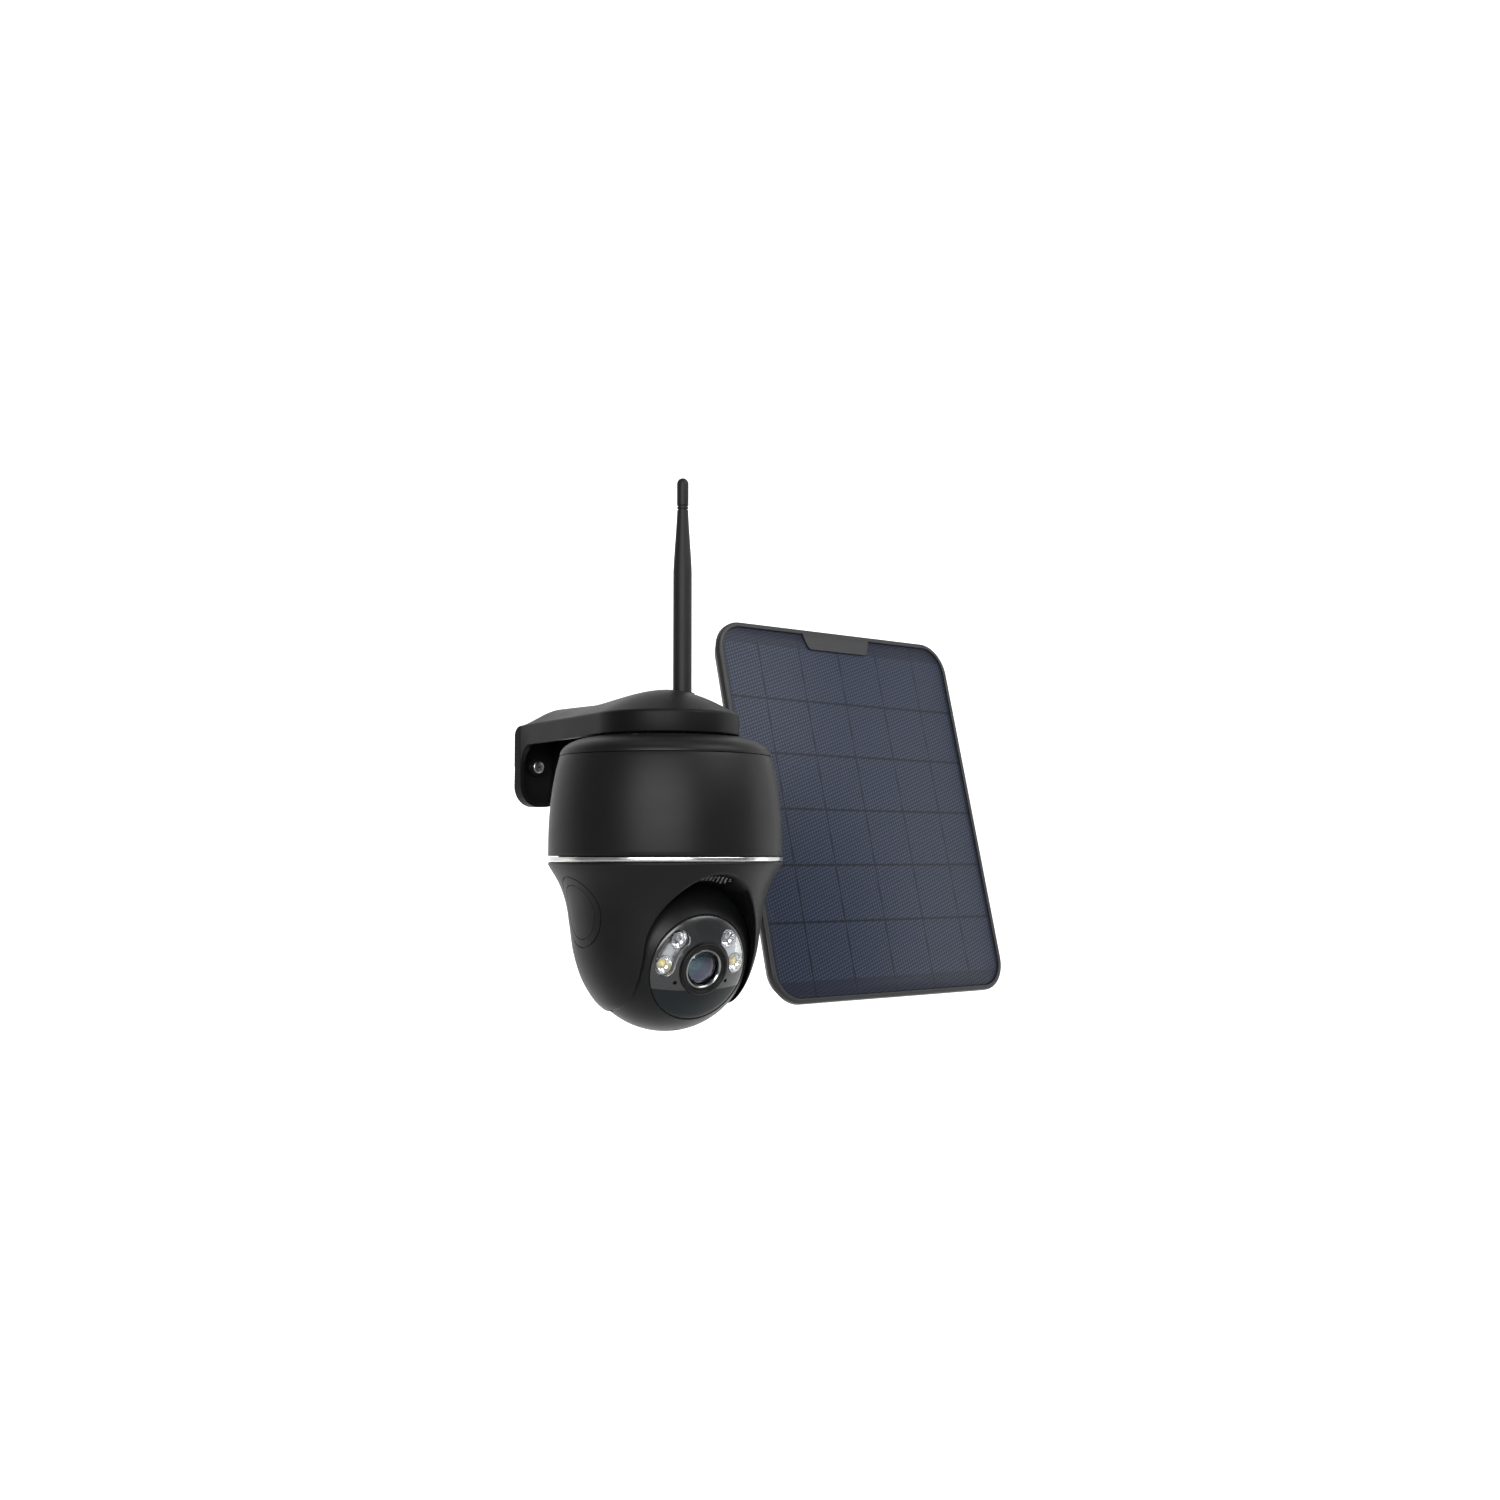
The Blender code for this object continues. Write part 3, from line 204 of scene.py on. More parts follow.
def along_x(bm):
    return lay(bm, turn(90, 'Y'))


def along_y(bm):
    return lay(bm, turn(-90, 'X'))


def joined(*parts):
    """Several separate solids in one bmesh."""
    mesh = bpy.data.meshes.new("joined")
    whole = bmesh.new()
    for part in parts:
        part.to_mesh(mesh)
        part.free()
        whole.from_mesh(mesh)
    bpy.data.meshes.remove(mesh)
    return whole


def carved(bm, *steps):
    """Boolean result of bm with each (operation, other) in turn."""
    collection = bpy.context.scene.collection
    made = []
    for source in [bm] + [other for _, other in steps]:
        bmesh.ops.recalc_face_normals(source, faces=source.faces)
        if source.calc_volume(signed=True) < 0:
            bmesh.ops.reverse_faces(source, faces=source.faces)
        mesh = bpy.data.meshes.new("carve")
        source.to_mesh(mesh)
        source.free()
        obj = bpy.data.objects.new("carve", mesh)
        collection.objects.link(obj)
        made.append(obj)
    target = made[0]
    for (operation, _), other in zip(steps, made[1:]):
        mod = target.modifiers.new("cut", 'BOOLEAN')
        mod.operation = operation
        mod.object = other
        mod.solver = 'MANIFOLD'
    bpy.context.view_layer.update()
    evaluated = target.evaluated_get(bpy.context.evaluated_depsgraph_get())
    result = bmesh.new()
    result.from_mesh(evaluated.to_mesh())
    evaluated.to_mesh_clear()
    for obj in made:
        mesh = obj.data
        bpy.data.objects.remove(obj)
        bpy.data.meshes.remove(mesh)
    return result


CUT, ADD, KEEP = 'DIFFERENCE', 'UNION', 'INTERSECT'


def piece(name, bm, place, slot_name, body, nodes=(), sharp=34, look=None):
    """A finished piece: bm in millimetres, put at place, riding on body and standing for the CAD nodes."""
    bmesh.ops.recalc_face_normals(bm, faces=bm.faces)
    bmesh.ops.scale(bm, vec=(MM, MM, MM), verts=bm.verts)
    mesh = bpy.data.meshes.new(name)
    bm.to_mesh(mesh)
    bm.free()
    mesh.shade_smooth()
    mesh.set_sharp_from_angle(angle=math.radians(sharp))
    mesh.materials.append(looks[look or slot_name])
    obj = bpy.data.objects.new(name, mesh)
    bpy.context.scene.collection.objects.link(obj)
    obj.matrix_world = place
    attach(obj, body)
    if nodes:
        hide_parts(*nodes)
    return obj


# ---- materials
class Nodes:
    """A small helper round one material's node tree."""

    def __init__(self, name):
        self.mat = bpy.data.materials.new(name)
        self.mat.use_nodes = True
        self.tree = self.mat.node_tree
        self.shader = self.tree.nodes["Principled BSDF"]
        self.coords = self.tree.nodes.new("ShaderNodeTexCoord").outputs["Object"]

    def set(self, **values):
        for key, value in values.items():
            socket = self.shader.inputs[key.replace("_", " ")]
            socket.default_value = (*value, 1.0) if isinstance(value, tuple) and len(value) == 3 else value

    def add(self, kind, **values):
        node = self.tree.nodes.new(kind)
        for key, value in values.items():
            if hasattr(value, "links"):
                self.tree.links.new(value, node.inputs[key.replace("_", " ")])
            elif key.replace("_", " ") in node.inputs:
                node.inputs[key.replace("_", " ")].default_value = value
            else:
                setattr(node, key, value)
        return node

    def math(self, operation, first, second=0.0, clamp=False):
        node = self.tree.nodes.new("ShaderNodeMath")
        node.operation = operation
        node.use_clamp = clamp
        for index, value in enumerate((first, second)):
            if hasattr(value, "links"):
                self.tree.links.new(value, node.inputs[index])
            else:
                node.inputs[index].default_value = value
        return node.outputs[0]

    def noise(self, scale, detail=2.0, coords=None):
        node = self.add("ShaderNodeTexNoise", Vector=coords or self.coords, Scale=scale, Detail=detail)
        return node.outputs["Fac"]

    def ramp(self, value, low, high, out_low, out_high):
        node = self.tree.nodes.new("ShaderNodeMapRange")
        self.tree.links.new(value, node.inputs["Value"])
        for key, number in (("From Min", low), ("From Max", high), ("To Min", out_low), ("To Max", out_high)):
            node.inputs[key].default_value = number
        return node.outputs["Result"]

    def mix(self, factor, first, second):
        node = self.tree.nodes.new("ShaderNodeMix")
        node.data_type = 'RGBA'
        self.tree.links.new(factor, node.inputs["Factor"])
        for socket, value in zip(node.inputs[6:8], (first, second)):
            if hasattr(value, "links"):
                self.tree.links.new(value, socket)
            else:
                socket.default_value = (*value, 1.0)
        return node.outputs[2]

    def bump(self, height, strength, distance):
        node = self.tree.nodes.new("ShaderNodeBump")
        node.inputs["Strength"].default_value = strength
        node.inputs["Distance"].default_value = distance
        self.tree.links.new(height, node.inputs["Height"])
        self.tree.links.new(node.outputs["Normal"], self.shader.inputs["Normal"])

    def link(self, output, name):
        self.tree.links.new(output, self.shader.inputs[name])


def tint(colour, factor):
    return tuple(min(1.0, c * factor) for c in colour)


def moulded(name, colour, roughness, grain=3800.0, depth=0.35, specular=0.3, spread=0.12):
    """Moulded plastic or rubber: spark-eroded grain, a little unevenness in tone and gloss."""
    n = Nodes(name)
    n.set(Specular_IOR_Level=specular)
    cloudy = n.noise(38.0, 3.0)
    n.link(n.mix(cloudy, tint(colour, 1 - spread), tint(colour, 1 + spread)), "Base Color")
    fine = n.noise(grain, 2.0)
    rough = n.math('ADD', n.ramp(cloudy, 0.3, 0.7, roughness - 0.03, roughness + 0.03),
                   n.ramp(fine, 0.3, 0.7, -0.03, 0.03))
    n.link(rough, "Roughness")
    n.bump(fine, depth, 0.00004)
    return n.mat


def metal(name, colour, roughness, streak=(1.0, 1.0, 1.0), grain=900.0, depth=0.12):
    """Bare metal with fine machining marks."""
    n = Nodes(name)
    n.set(Metallic=1.0)
    stretched = n.add("ShaderNodeMapping", Vector=n.coords, Scale=streak).outputs["Vector"]
    marks = n.noise(grain, 3.0, stretched)
    n.link(n.mix(marks, tint(colour, 0.92), tint(colour, 1.06)), "Base Color")
    n.link(n.ramp(marks, 0.3, 0.7, roughness * 0.8, roughness * 1.25), "Roughness")
    n.bump(marks, depth, 0.00002)
    return n.mat


def turned_metal(name, colour, roughness, pitch):
    """Metal turned about the local Z axis: concentric lathe lines."""
    n = Nodes(name)
    n.set(Metallic=1.0)
    parts = n.add("ShaderNodeSeparateXYZ", Vector=n.coords).outputs
    radius = n.math('SQRT', n.math('ADD', n.math('MULTIPLY', parts["X"], parts["X"]),
                                   n.math('MULTIPLY', parts["Y"], parts["Y"])))
    lines = n.math('SINE', n.math('MULTIPLY', n.math('ADD', radius, parts["Z"]), 2 * math.pi / pitch))
    n.link(n.mix(n.ramp(lines, -1.0, 1.0, 0.0, 1.0), tint(colour, 0.90), colour), "Base Color")
    n.link(n.ramp(n.noise(260.0), 0.3, 0.7, roughness * 0.85, roughness * 1.2), "Roughness")
    n.bump(lines, 0.12, 0.00001)
    return n.mat


def gloss(name, colour, roughness, specular=0.5, coat=0.0):
    """Polished plastic: clear reflections over a very faint ripple."""
    n = Nodes(name)
    n.set(Specular_IOR_Level=specular, Coat_Weight=coat, Coat_Roughness=0.03)
    haze = n.noise(60.0, 3.0)
    n.link(n.mix(haze, tint(colour, 0.9), tint(colour, 1.1)), "Base Color")
    n.link(n.ramp(haze, 0.35, 0.65, roughness * 0.8, roughness * 1.2), "Roughness")
    n.bump(n.noise(25.0), 0.02, 0.0002)
    return n.mat


def clear(name, colour, roughness, ior, film=0.0):
    """Clear plastic or coated glass."""
    n = Nodes(name)
    n.set(Transmission_Weight=1.0, IOR=ior)
    if film:
        n.set(Thin_Film_Thickness=film, Thin_Film_IOR=1.6)
    haze = n.noise(90.0, 2.0)
    n.link(n.mix(haze, tint(colour, 0.97), colour), "Base Color")
    n.link(n.ramp(haze, 0.3, 0.7, roughness, roughness * 1.6), "Roughness")
    return n.mat


def circuit_board(name, colour):
    """Solder mask with raised copper tracks under it."""
    n = Nodes(name)
    tracks = n.add("ShaderNodeTexBrick", Vector=n.coords, Scale=160.0, Mortar_Size=0.03,
                   Color1=(0, 0, 0, 1), Color2=(0.2, 0.2, 0.2, 1), Mortar=(1, 1, 1, 1)).outputs["Color"]
    track = n.math('MULTIPLY', tracks, 1.0, clamp=True)
    n.link(n.mix(track, colour, tint(colour, 1.7)), "Base Color")
    n.link(n.ramp(n.noise(300.0), 0.3, 0.7, 0.30, 0.42), "Roughness")
    n.bump(track, 0.3, 0.00005)
    return n.mat


def solar_cells(name):
    """Navy cells under an embossed clear film: a dark grid and diagonal rows of small raised dots."""
    n = Nodes(name)
    n.set(Specular_IOR_Level=0.13)
    parts = n.add("ShaderNodeSeparateXYZ", Vector=n.coords).outputs
    x, y = parts["X"], parts["Y"]
    across, up = CELL_W * MM, CELL_H * MM

    def line(value, pitch, half, count):
        """1 on the lines at whole multiples of pitch, up to count of them each side of the middle."""
        off = n.math('ABSOLUTE', n.math('SUBTRACT', value, n.math('MULTIPLY', n.math('ROUND', n.math(
            'DIVIDE', value, pitch)), pitch)))
        on = n.ramp(off, half * 0.6, half * 1.4, 1.0, 0.0)
        inside = n.math('LESS_THAN', n.math('ABSOLUTE', value), (count + 0.5) * pitch)
        return n.math('MULTIPLY', on, inside)

    columns = line(x, across, 0.00042, 2)
    rows = line(y, up, 0.00055, 2)

    def outside(value, size):
        """0 inside the field of cells and 1 past its edge, with a soft step."""
        return n.ramp(n.math('ABSOLUTE', value), (size / 2 - 0.3) * MM, (size / 2 + 0.3) * MM, 0, 1)

    border = n.math('MAXIMUM', outside(x, CELLS_W), outside(y, CELLS_H))
    grid = n.math('MAXIMUM', n.math('MAXIMUM', columns, rows), n.math('MULTIPLY', border, 0.55))

    turned_coords = n.add("ShaderNodeMapping", Vector=n.coords).outputs["Vector"]
    turned_coords.node.inputs["Rotation"].default_value = (0, 0, math.radians(DOT_ANGLE))
    dots = n.add("ShaderNodeSeparateXYZ", Vector=turned_coords).outputs
    wave = 2 * math.pi / (DOT_PITCH * MM)
    product = n.math('MULTIPLY', n.math('SINE', n.math('MULTIPLY', dots["X"], wave)),
                     n.math('SINE', n.math('MULTIPLY', dots["Y"], wave * 0.8)))
    dot = n.ramp(product, -0.1, 0.8, 0.0, 1.0)

    cloud = n.noise(9.0, 2.0)
    cell = n.mix(cloud, (0.0060, 0.0085, 0.0170), (0.0080, 0.0110, 0.0210))
    lit = n.mix(dot, cell, (0.024, 0.031, 0.050))
    shaded = n.mix(grid, lit, (0.004, 0.005, 0.009))
    n.link(shaded, "Base Color")
    n.link(n.ramp(dot, 0.0, 1.0, 0.50, 0.38), "Roughness")
    n.bump(dot, 0.25, 0.00010)
    return n.mat


CELLS_W, CELLS_H = 152.0, 164.0
CELL_W, CELL_H = CELLS_W / 5.56, CELLS_H / 6
DOT_PITCH, DOT_ANGLE = 2.1, 33.0

looks = {
    "housing": moulded("housing_matte_black", (0.0034, 0.0034, 0.0036), 0.42, specular=0.11),
    "bracket": moulded("bracket_matte_black", (0.0030, 0.0030, 0.0032), 0.44, specular=0.07),
    "face": gloss("face_gloss_black", (0.0060, 0.0065, 0.0070), 0.27, specular=0.5),
    "window": clear("window_clear", (0.93, 0.95, 0.97), 0.02, 1.46),
    "pir": moulded("pir_blue_black", (0.0040, 0.0062, 0.0070), 0.34, grain=5200.0, depth=0.2, specular=0.11),
    "lens": clear("lens_coated_glass", (0.42, 0.46, 0.50), 0.01, 1.50, film=380.0),
    "chrome": turned_metal("ring_bright", (0.52, 0.515, 0.50), 0.22, 0.0004),
    "rubber": moulded("rubber_black", (0.0045, 0.0045, 0.0046), 0.50, grain=2600.0, depth=0.5, specular=0.15),
    "steel": metal("screw_steel", (0.58, 0.57, 0.55), 0.30, streak=(1.0, 1.0, 0.2)),
    "board": circuit_board("board_green", (0.020, 0.110, 0.050)),
    "cell": gloss("cell_wrap", (0.050, 0.110, 0.260), 0.30),
    "gear": moulded("gear_white", (0.70, 0.69, 0.64), 0.42, grain=1800.0, depth=0.3, specular=0.5,
                    spread=0.03),
    "motor": metal("motor_steel", (0.50, 0.51, 0.52), 0.34, streak=(0.2, 1.0, 1.0)),
    "brass": metal("connector_brass", (0.72, 0.52, 0.22), 0.26),
    "chip_white": moulded("led_phosphor", (0.80, 0.66, 0.24), 0.40, grain=9000.0, spread=0.06),
    "chip_ir": gloss("led_clear", (0.30, 0.31, 0.32), 0.12, coat=0.5),
    "frame": moulded("panel_frame_grey", (0.0085, 0.0088, 0.0094), 0.44, grain=3000.0, specular=0.25),
    "case": moulded("panel_case_black", (0.0110, 0.0113, 0.0120), 0.52, grain=2200.0, depth=0.6,
                    specular=0.25),
    "cells": solar_cells("solar_cells_navy"),
    "reflector": metal("reflector_silver", (0.66, 0.66, 0.66), 0.20, grain=300.0, depth=0.05),
    "tray": metal("light_tray_silver", (0.50, 0.50, 0.50), 0.30, grain=500.0, depth=0.05),
    # speaker mesh: a grey of its own, painted much lighter to stand in for light that no lamp throws onto the
    # opening's downward-facing ceiling
    "mesh": moulded("speaker_mesh_grey_with_painted_light", (0.30, 0.30, 0.30), 0.45, specular=0.4, spread=0.05),
    "dark_steel": metal("screw_black_steel", (0.30, 0.30, 0.30), 0.30, streak=(1.0, 1.0, 0.2)),
    "dark_chrome": turned_metal("lens_ring_dark_chrome", (0.20, 0.20, 0.20), 0.22, 0.0004),
    "iris": moulded("lens_baffle_black", (0.0080, 0.0080, 0.0085), 0.34, grain=6000.0),
    "element": gloss("inner_lens_coating", (0.030, 0.045, 0.060), 0.04, specular=0.9, coat=1.0),
}
slot_of = {s["node"]: s["material_slot"] for s in frame["record"]["subparts"]}
for node_name, node in frame["nodes"].items():
    for material_slot in node.material_slots:
        material_slot.material = looks[slot_of[node_name]]


# ---- camera: wall bracket
def crown(y):
    """Height of the crown's spine over the upright sides."""
    fade = math.sin(math.pi / 2 * max(0.0, min(1.0, (REACH - y) / ARM_DROP)))
    blend = max(0.0, min(1.0, y / 45.0))
    blend = blend * blend * (3 - 2 * blend)
    return (CAP_CROWN + (ARM_CROWN - CAP_CROWN) * blend) * fade


def side_top(y):
    """Top of the upright sides: level, then rounded over at the wall."""
    run = max(0.0, y - (REACH - WALL_CORNER))
    return CAP_SIDE_Z - WALL_CORNER + math.sqrt(max(0.0, WALL_CORNER ** 2 - run ** 2))


def belly(y):
    """Underside of the arm: level, then curving down into the leg."""
    run = max(0.0, min(WEB_R, y - (REACH - LEG_DEPTH - WEB_R)))
    return CAP_BOTTOM_Z - WEB_R + math.sqrt(WEB_R ** 2 - run ** 2)


def arm_outline(inset, end_y, cap_steps, arm_steps):
    """Outline of cap and arm seen from above, and the y values of the points along each side of the arm."""
    slope = math.degrees(math.asin((CAP_R - LEG_HALF) / (REACH - LEG_DEPTH)))
    cap = arc(0, 0, CAP_R - inset, slope, -180 - slope, cap_steps)
    start_x, start_y = cap[0]
    leg_y = REACH - LEG_DEPTH
    ladder = [start_y + (end_y - start_y) * math.sin(math.pi / 2 * i / arm_steps)
              for i in range(1, arm_steps + 1)]

    def half(y):
        return start_x + (LEG_HALF - inset - start_x) * min(1.0, (y - start_y) / (leg_y - start_y))

    return cap + [(-half(y), y) for y in ladder] + [(half(y), y) for y in reversed(ladder)], ladder


def crowned_arm(inset, lowest, crown_drop, end_y, cap_steps=96, arm_steps=48, crown_steps=22, edge=0.7):
    """Cap and arm in one skin: rounded lower rim, upright sides, softened shoulder and the crown."""
    outline, ladder = arm_outline(inset, end_y, cap_steps, arm_steps)
    count = len(outline)
    rings = []
    for k in range(4):
        swing = math.pi / 2 * k / 3
        inner, _ = arm_outline(inset + edge * (1 - math.sin(swing)), end_y - edge * (1 - math.sin(swing)),
                               cap_steps, arm_steps)
        rise = edge * (1 - math.cos(swing))
        rings.append([(x, y, (belly(y) if lowest is None else lowest) + rise) for x, y in inner])
    ease = 0.028
    levels = [level for level in ((i / crown_steps) ** 1.25 for i in range(crown_steps)) if level >= ease]

    def crown_point(x, y, part):
        across, along = x * (1 - part), y + (max(0.0, y) - y) * part
        return (across, along, side_top(along) + (crown(along) - crown_drop) * math.sin(math.pi / 2 * part))

    for t in (0.0, 0.25, 0.5, 0.75):
        ring = []
        for x, y in outline:
            low = Vector((x, y, side_top(y) - 0.9))
            corner = Vector((x, y, side_top(y)))
            high = Vector(crown_point(x, y, ease))
            ring.append(tuple(low * (1 - t) ** 2 + corner * 2 * t * (1 - t) + high * t * t))
        rings.append(ring)
    for part in [ease] + levels:
        rings.append([crown_point(x, y, part) for x, y in outline])
    bm = bmesh.new()
    made = [[bm.verts.new(p) for p in ring] for ring in rings]
    for low, high in zip(made, made[1:]):
        for i in range(count):
            j = (i + 1) % count
            bm.faces.new((low[i], low[j], high[j], high[i]))
    spine = [bm.verts.new((0, y, side_top(y) + crown(y) - crown_drop)) for y in [0] + ladder]
    last, foot = made[-1], made[0]
    for i in range(cap_steps):
        bm.faces.new((last[i], last[i + 1], spine[0]))
    for k in range(arm_steps):
        bm.faces.new((last[cap_steps + k], last[cap_steps + k + 1], spine[k + 1], spine[k]))
        bm.faces.new((last[(count - k) % count], spine[k], spine[k + 1], last[count - 1 - k]))
        bm.faces.new((foot[(count - k) % count], foot[count - 1 - k],
                      foot[cap_steps + k + 1], foot[cap_steps + k]))
    bm.faces.new((last[cap_steps + arm_steps], last[cap_steps + arm_steps + 1], spine[-1]))
    bm.faces.new(foot[:cap_steps + 1])
    bmesh.ops.triangulate(bm, faces=[f for f in bm.faces if len(f.verts) > 4])
    return bm


def leg_outline(half, low, high, corner, steps=16):
    return ([(-half, high)] + arc(-half + corner, low + corner, corner, 180, 270, steps)
            + arc(half - corner, low + corner, corner, 270, 360, steps) + [(half, high)])


def standing(outline, near, far, bevel=0.0):
    """Prism over an (x, z) outline, from y = near to y = far."""
    return lay(prism(outline, -far, -near, bevel), turn(90, 'X'))


def make_bracket():
    tiny = 0.05
    arm = crowned_arm(0, None, 0, REACH - tiny)
    leg = standing(leg_outline(LEG_HALF - tiny, LEG_BOTTOM_Z, CAP_SIDE_Z - WALL_CORNER - 1.0, LEG_CORNER),
                   REACH - LEG_DEPTH - tiny, REACH, 0.45)
    wall = 2.0
    hollow = crowned_arm(wall, CAP_BOTTOM_Z - 1.5, wall, REACH - wall - tiny, 48, 24, 8, 0.3)
    hollow = carved(hollow, (CUT, drum(8.0, 40, 80)), (CUT, moved(drum(7.0, 41, 81), *ANTENNA, 0)))
    outline = leg_outline(LEG_HALF - wall + tiny, LEG_BOTTOM_Z + wall, CAP_BOTTOM_Z + 1.2, LEG_CORNER - wall)
    pocket = standing(outline, REACH - 40, REACH - wall)
    boss = moved(along_y(drum(3.9, REACH - 4.6, REACH + 1)), WALL_SCREW[0], 0, WALL_SCREW[1])
    pocket = carved(pocket, (CUT, boss))
    stepped = [(0, 49), (3.6, 49), (3.6, 61.8), (ANTENNA_R + GAP, 61.8), (ANTENNA_R + GAP, COLLAR_SEAT_Z),
               (5.8, COLLAR_SEAT_Z), (5.8, 80), (0, 80)]
    hole = moved(along_y(drum(1.9, REACH - 8, REACH + 1, 32)), WALL_SCREW[0], 0, WALL_SCREW[1])
    shell = carved(arm, (ADD, leg), (CUT, hollow), (CUT, pocket), (CUT, drum(3.5, CAP_BOTTOM_Z - 1, 57.2)),
                   (CUT, moved(turned(stepped, ROUND), *ANTENNA, 0)), (CUT, hole))
    piece("bracket_shell", shell, BASE, "bracket", "root", ["wall_bracket"], sharp=30)


def cross_screw(head_r, head_h, shank_r, length, dome=0.5, slot_w=0.9):
    """Screw along +Z with a cross recess in its domed head; the head's underside is at z = 0."""
    crown_line = [(head_r * c, head_h - dome + dome * s) for c, s in arc(0, 0, 1.0, 0, 90, 6)[:-1]]
    shank = [(0, -length), (shank_r, -length), (shank_r, 0), (head_r, 0)]
    body = turned(shank + crown_line + [(0, head_h)], 48)
    arm = head_r * 0.62
    deep = head_h * 0.6
    first = block((-arm, -slot_w / 2, head_h - deep), (arm, slot_w / 2, head_h + 1))
    second = block((-slot_w / 2, -arm, head_h - deep), (slot_w / 2, arm, head_h + 1))
    return carved(body, (CUT, first), (CUT, second))


def make_wall_screw():
    seat_y = REACH - 4.6 - GAP
    screw = lay(cross_screw(2.8, 2.2, 1.6, 4.2), turn(37, 'Z'))
    screw = moved(lay(screw, turn(90, 'X')), WALL_SCREW[0], seat_y, WALL_SCREW[1])
    piece("bracket_screw", screw, BASE, "steel", "root", ["wall_screw"], look="dark_steel")


def make_antenna():
    """Rubber sleeve in a collar; it tapers to a neck with a groove and a round cap."""
    aerial = BASE @ shift(*ANTENNA, 0)
    bore, seat = ANTENNA_R + 0.05, COLLAR_SEAT_Z + 0.1
    collar = turned(fillet([(bore, seat), (5.7, seat, 0.2), (5.6, seat + 2.4, 0.6), (5.1, seat + 3.4, 0.5),
                            (bore, seat + 3.6, 0.2)]), ROUND)
    piece("antenna_collar_ring", collar, aerial, "rubber", "root", ["antenna_collar"])
    low, high = ANTENNA_TAPER_Z
    neck_r, lip_r, cap_r = 1.95, 2.4, ANTENNA_TIP_R + 0.1
    taper = []
    for t in [i / 12 for i in range(13)]:
        narrowing = (t * t * (3 - 2 * t)) * 0.35 + t * 0.65
        taper.append((ANTENNA_R + (ANTENNA_TIP_R - ANTENNA_R) * narrowing, low + (high - low) * t))
    sleeve = [(0, 61.9), (ANTENNA_R - 0.05, 61.9), (ANTENNA_R, COLLAR_SEAT_Z)] + taper[:-1]
    sleeve += [(ANTENNA_TIP_R, high), (ANTENNA_TIP_R, high + 0.3), (2.25, high + 0.4), (neck_r, high + 0.42),
               (neck_r, high + 0.75), (0, high + 0.75)]
    piece("antenna_whip", turned(sleeve, ROUND), aerial, "rubber", "root", ["antenna_sleeve"])
    foot = high + 0.8
    tip = fillet([(0, foot), (neck_r, foot), (neck_r, foot + 0.1), (lip_r, foot + 0.12, 0.12),
                  (lip_r, foot + 1.0, 0.12), (neck_r, foot + 1.02), (neck_r, foot + 1.5),
                  (cap_r, foot + 1.52, 0.2), (cap_r, ANTENNA_TOP_Z - cap_r)])
    tip += arc(0, ANTENNA_TOP_Z - cap_r, cap_r, 0, 90, 12)[1:-1] + [(0, ANTENNA_TOP_Z)]
    piece("antenna_cap", turned(tip, ROUND), aerial, "rubber", "root", ["antenna_tip"])


# ---- camera: fixed barrel
def barrel_radius(z):
    """The barrel bulges: full width at the waist, drawn in towards its top."""
    return BARREL_R - (BARREL_R - BARREL_TOP_R) * (max(0.0, z) / BARREL_TOP_Z) ** BARREL_BULGE


def spot(angle, radius):
    return radius * math.cos(math.radians(angle)), radius * math.sin(math.radians(angle))


def make_barrel():
    low, top = 0.4, BARREL_TOP_Z - 0.12
    heights = [low + 0.35 + (top - low - 0.8) * i / 24 for i in range(25)]
    outer = [(barrel_radius(z), z) for z in heights]
    rim = [(barrel_radius(top) - 0.04, top - 0.06), (barrel_radius(top) - 0.14, top)]
    foot = [(BARREL_R - 0.4, low), (BARREL_R - 0.1, low + 0.12)]
    inner = [(r - SHELL, z) for r, z in reversed(outer[::4])]
    inner = [(barrel_radius(top) - SHELL, top)] + inner + [(BARREL_R - SHELL, low)]
    body = turned(foot + outer + rim + inner)
    recess = moved(lay(prism(rounded_rectangle(17.0, 9.6, 1.2), -20, 0), turn(90, 'X')), 0, 40, 14.2)
    bore = lay(moved(along_y(drum(3.4, 30, 60)), 0, 0, BUTTON_Z), turn(BUTTON_ANGLE, 'Z'))
    piece("barrel", carved(body, (CUT, recess), (CUT, bore)), BASE, "housing", "root", ["barrel_shell"])


def make_top_cover():
    """Cover that closes the barrel: a flat top with a quarter-ellipse shoulder and four sunk screws."""
    run, base_z = BARREL_TOP_R - COVER_FLAT_R, BARREL_TOP_Z + 0.16
    rise = COVER_TOP_Z - base_z
    curve = [(COVER_FLAT_R + run * c, base_z + rise * s) for c, s in arc(0, 0, 1.0, 0, 90, 20)]
    shoulder = curve[0]
    curve[0] = (shoulder[0] - 0.14, shoulder[1] - 0.04)
    curve.insert(1, (shoulder[0] - 0.03, shoulder[1] + 0.08))
    cover = turned(curve + [(0, COVER_TOP_Z), (0, 40.5), (41.0, 40.5), (41.0, 42.16)])
    cutters = [drum(3.5, 40, 60), moved(drum(3.5, 40, 60, 48), *ANTENNA, 0)]
    for number, angle in enumerate(COVER_SCREW_ANGLES, 1):
        x, y = spot(angle, COVER_SCREW_R)
        countersink = turned([(0, 47.9), (2.5, 47.9), (2.5, 49.4), (3.6, 50.6), (0, 50.6)], 48)
        cutters.append(moved(countersink, x, y, 0))
        screw = moved(cross_screw(2.2, 1.0, 1.1, 6.0, 0.4, 0.7), 0, 0, 48.2)
        place = BASE @ shift(x, y, 0) @ turn(20 * number, 'Z')
        piece("cover_fixing_%d" % number, screw, place, "rubber", "root", ["cover_screw_%d" % number])
    piece("barrel_top", carved(cover, (CUT, joined(*cutters))), BASE, "housing", "root", ["top_cover"])


def make_waist_ring():
    bright = fillet([(44.6, -RING_H), (RING_R, -RING_H, 0.35), (RING_R, 0.0, 0.35), (44.6, 0.0)], 5)
    piece("waist_ring", turned(bright), BASE, "chrome", "root", ["trim_ring"], sharp=50)


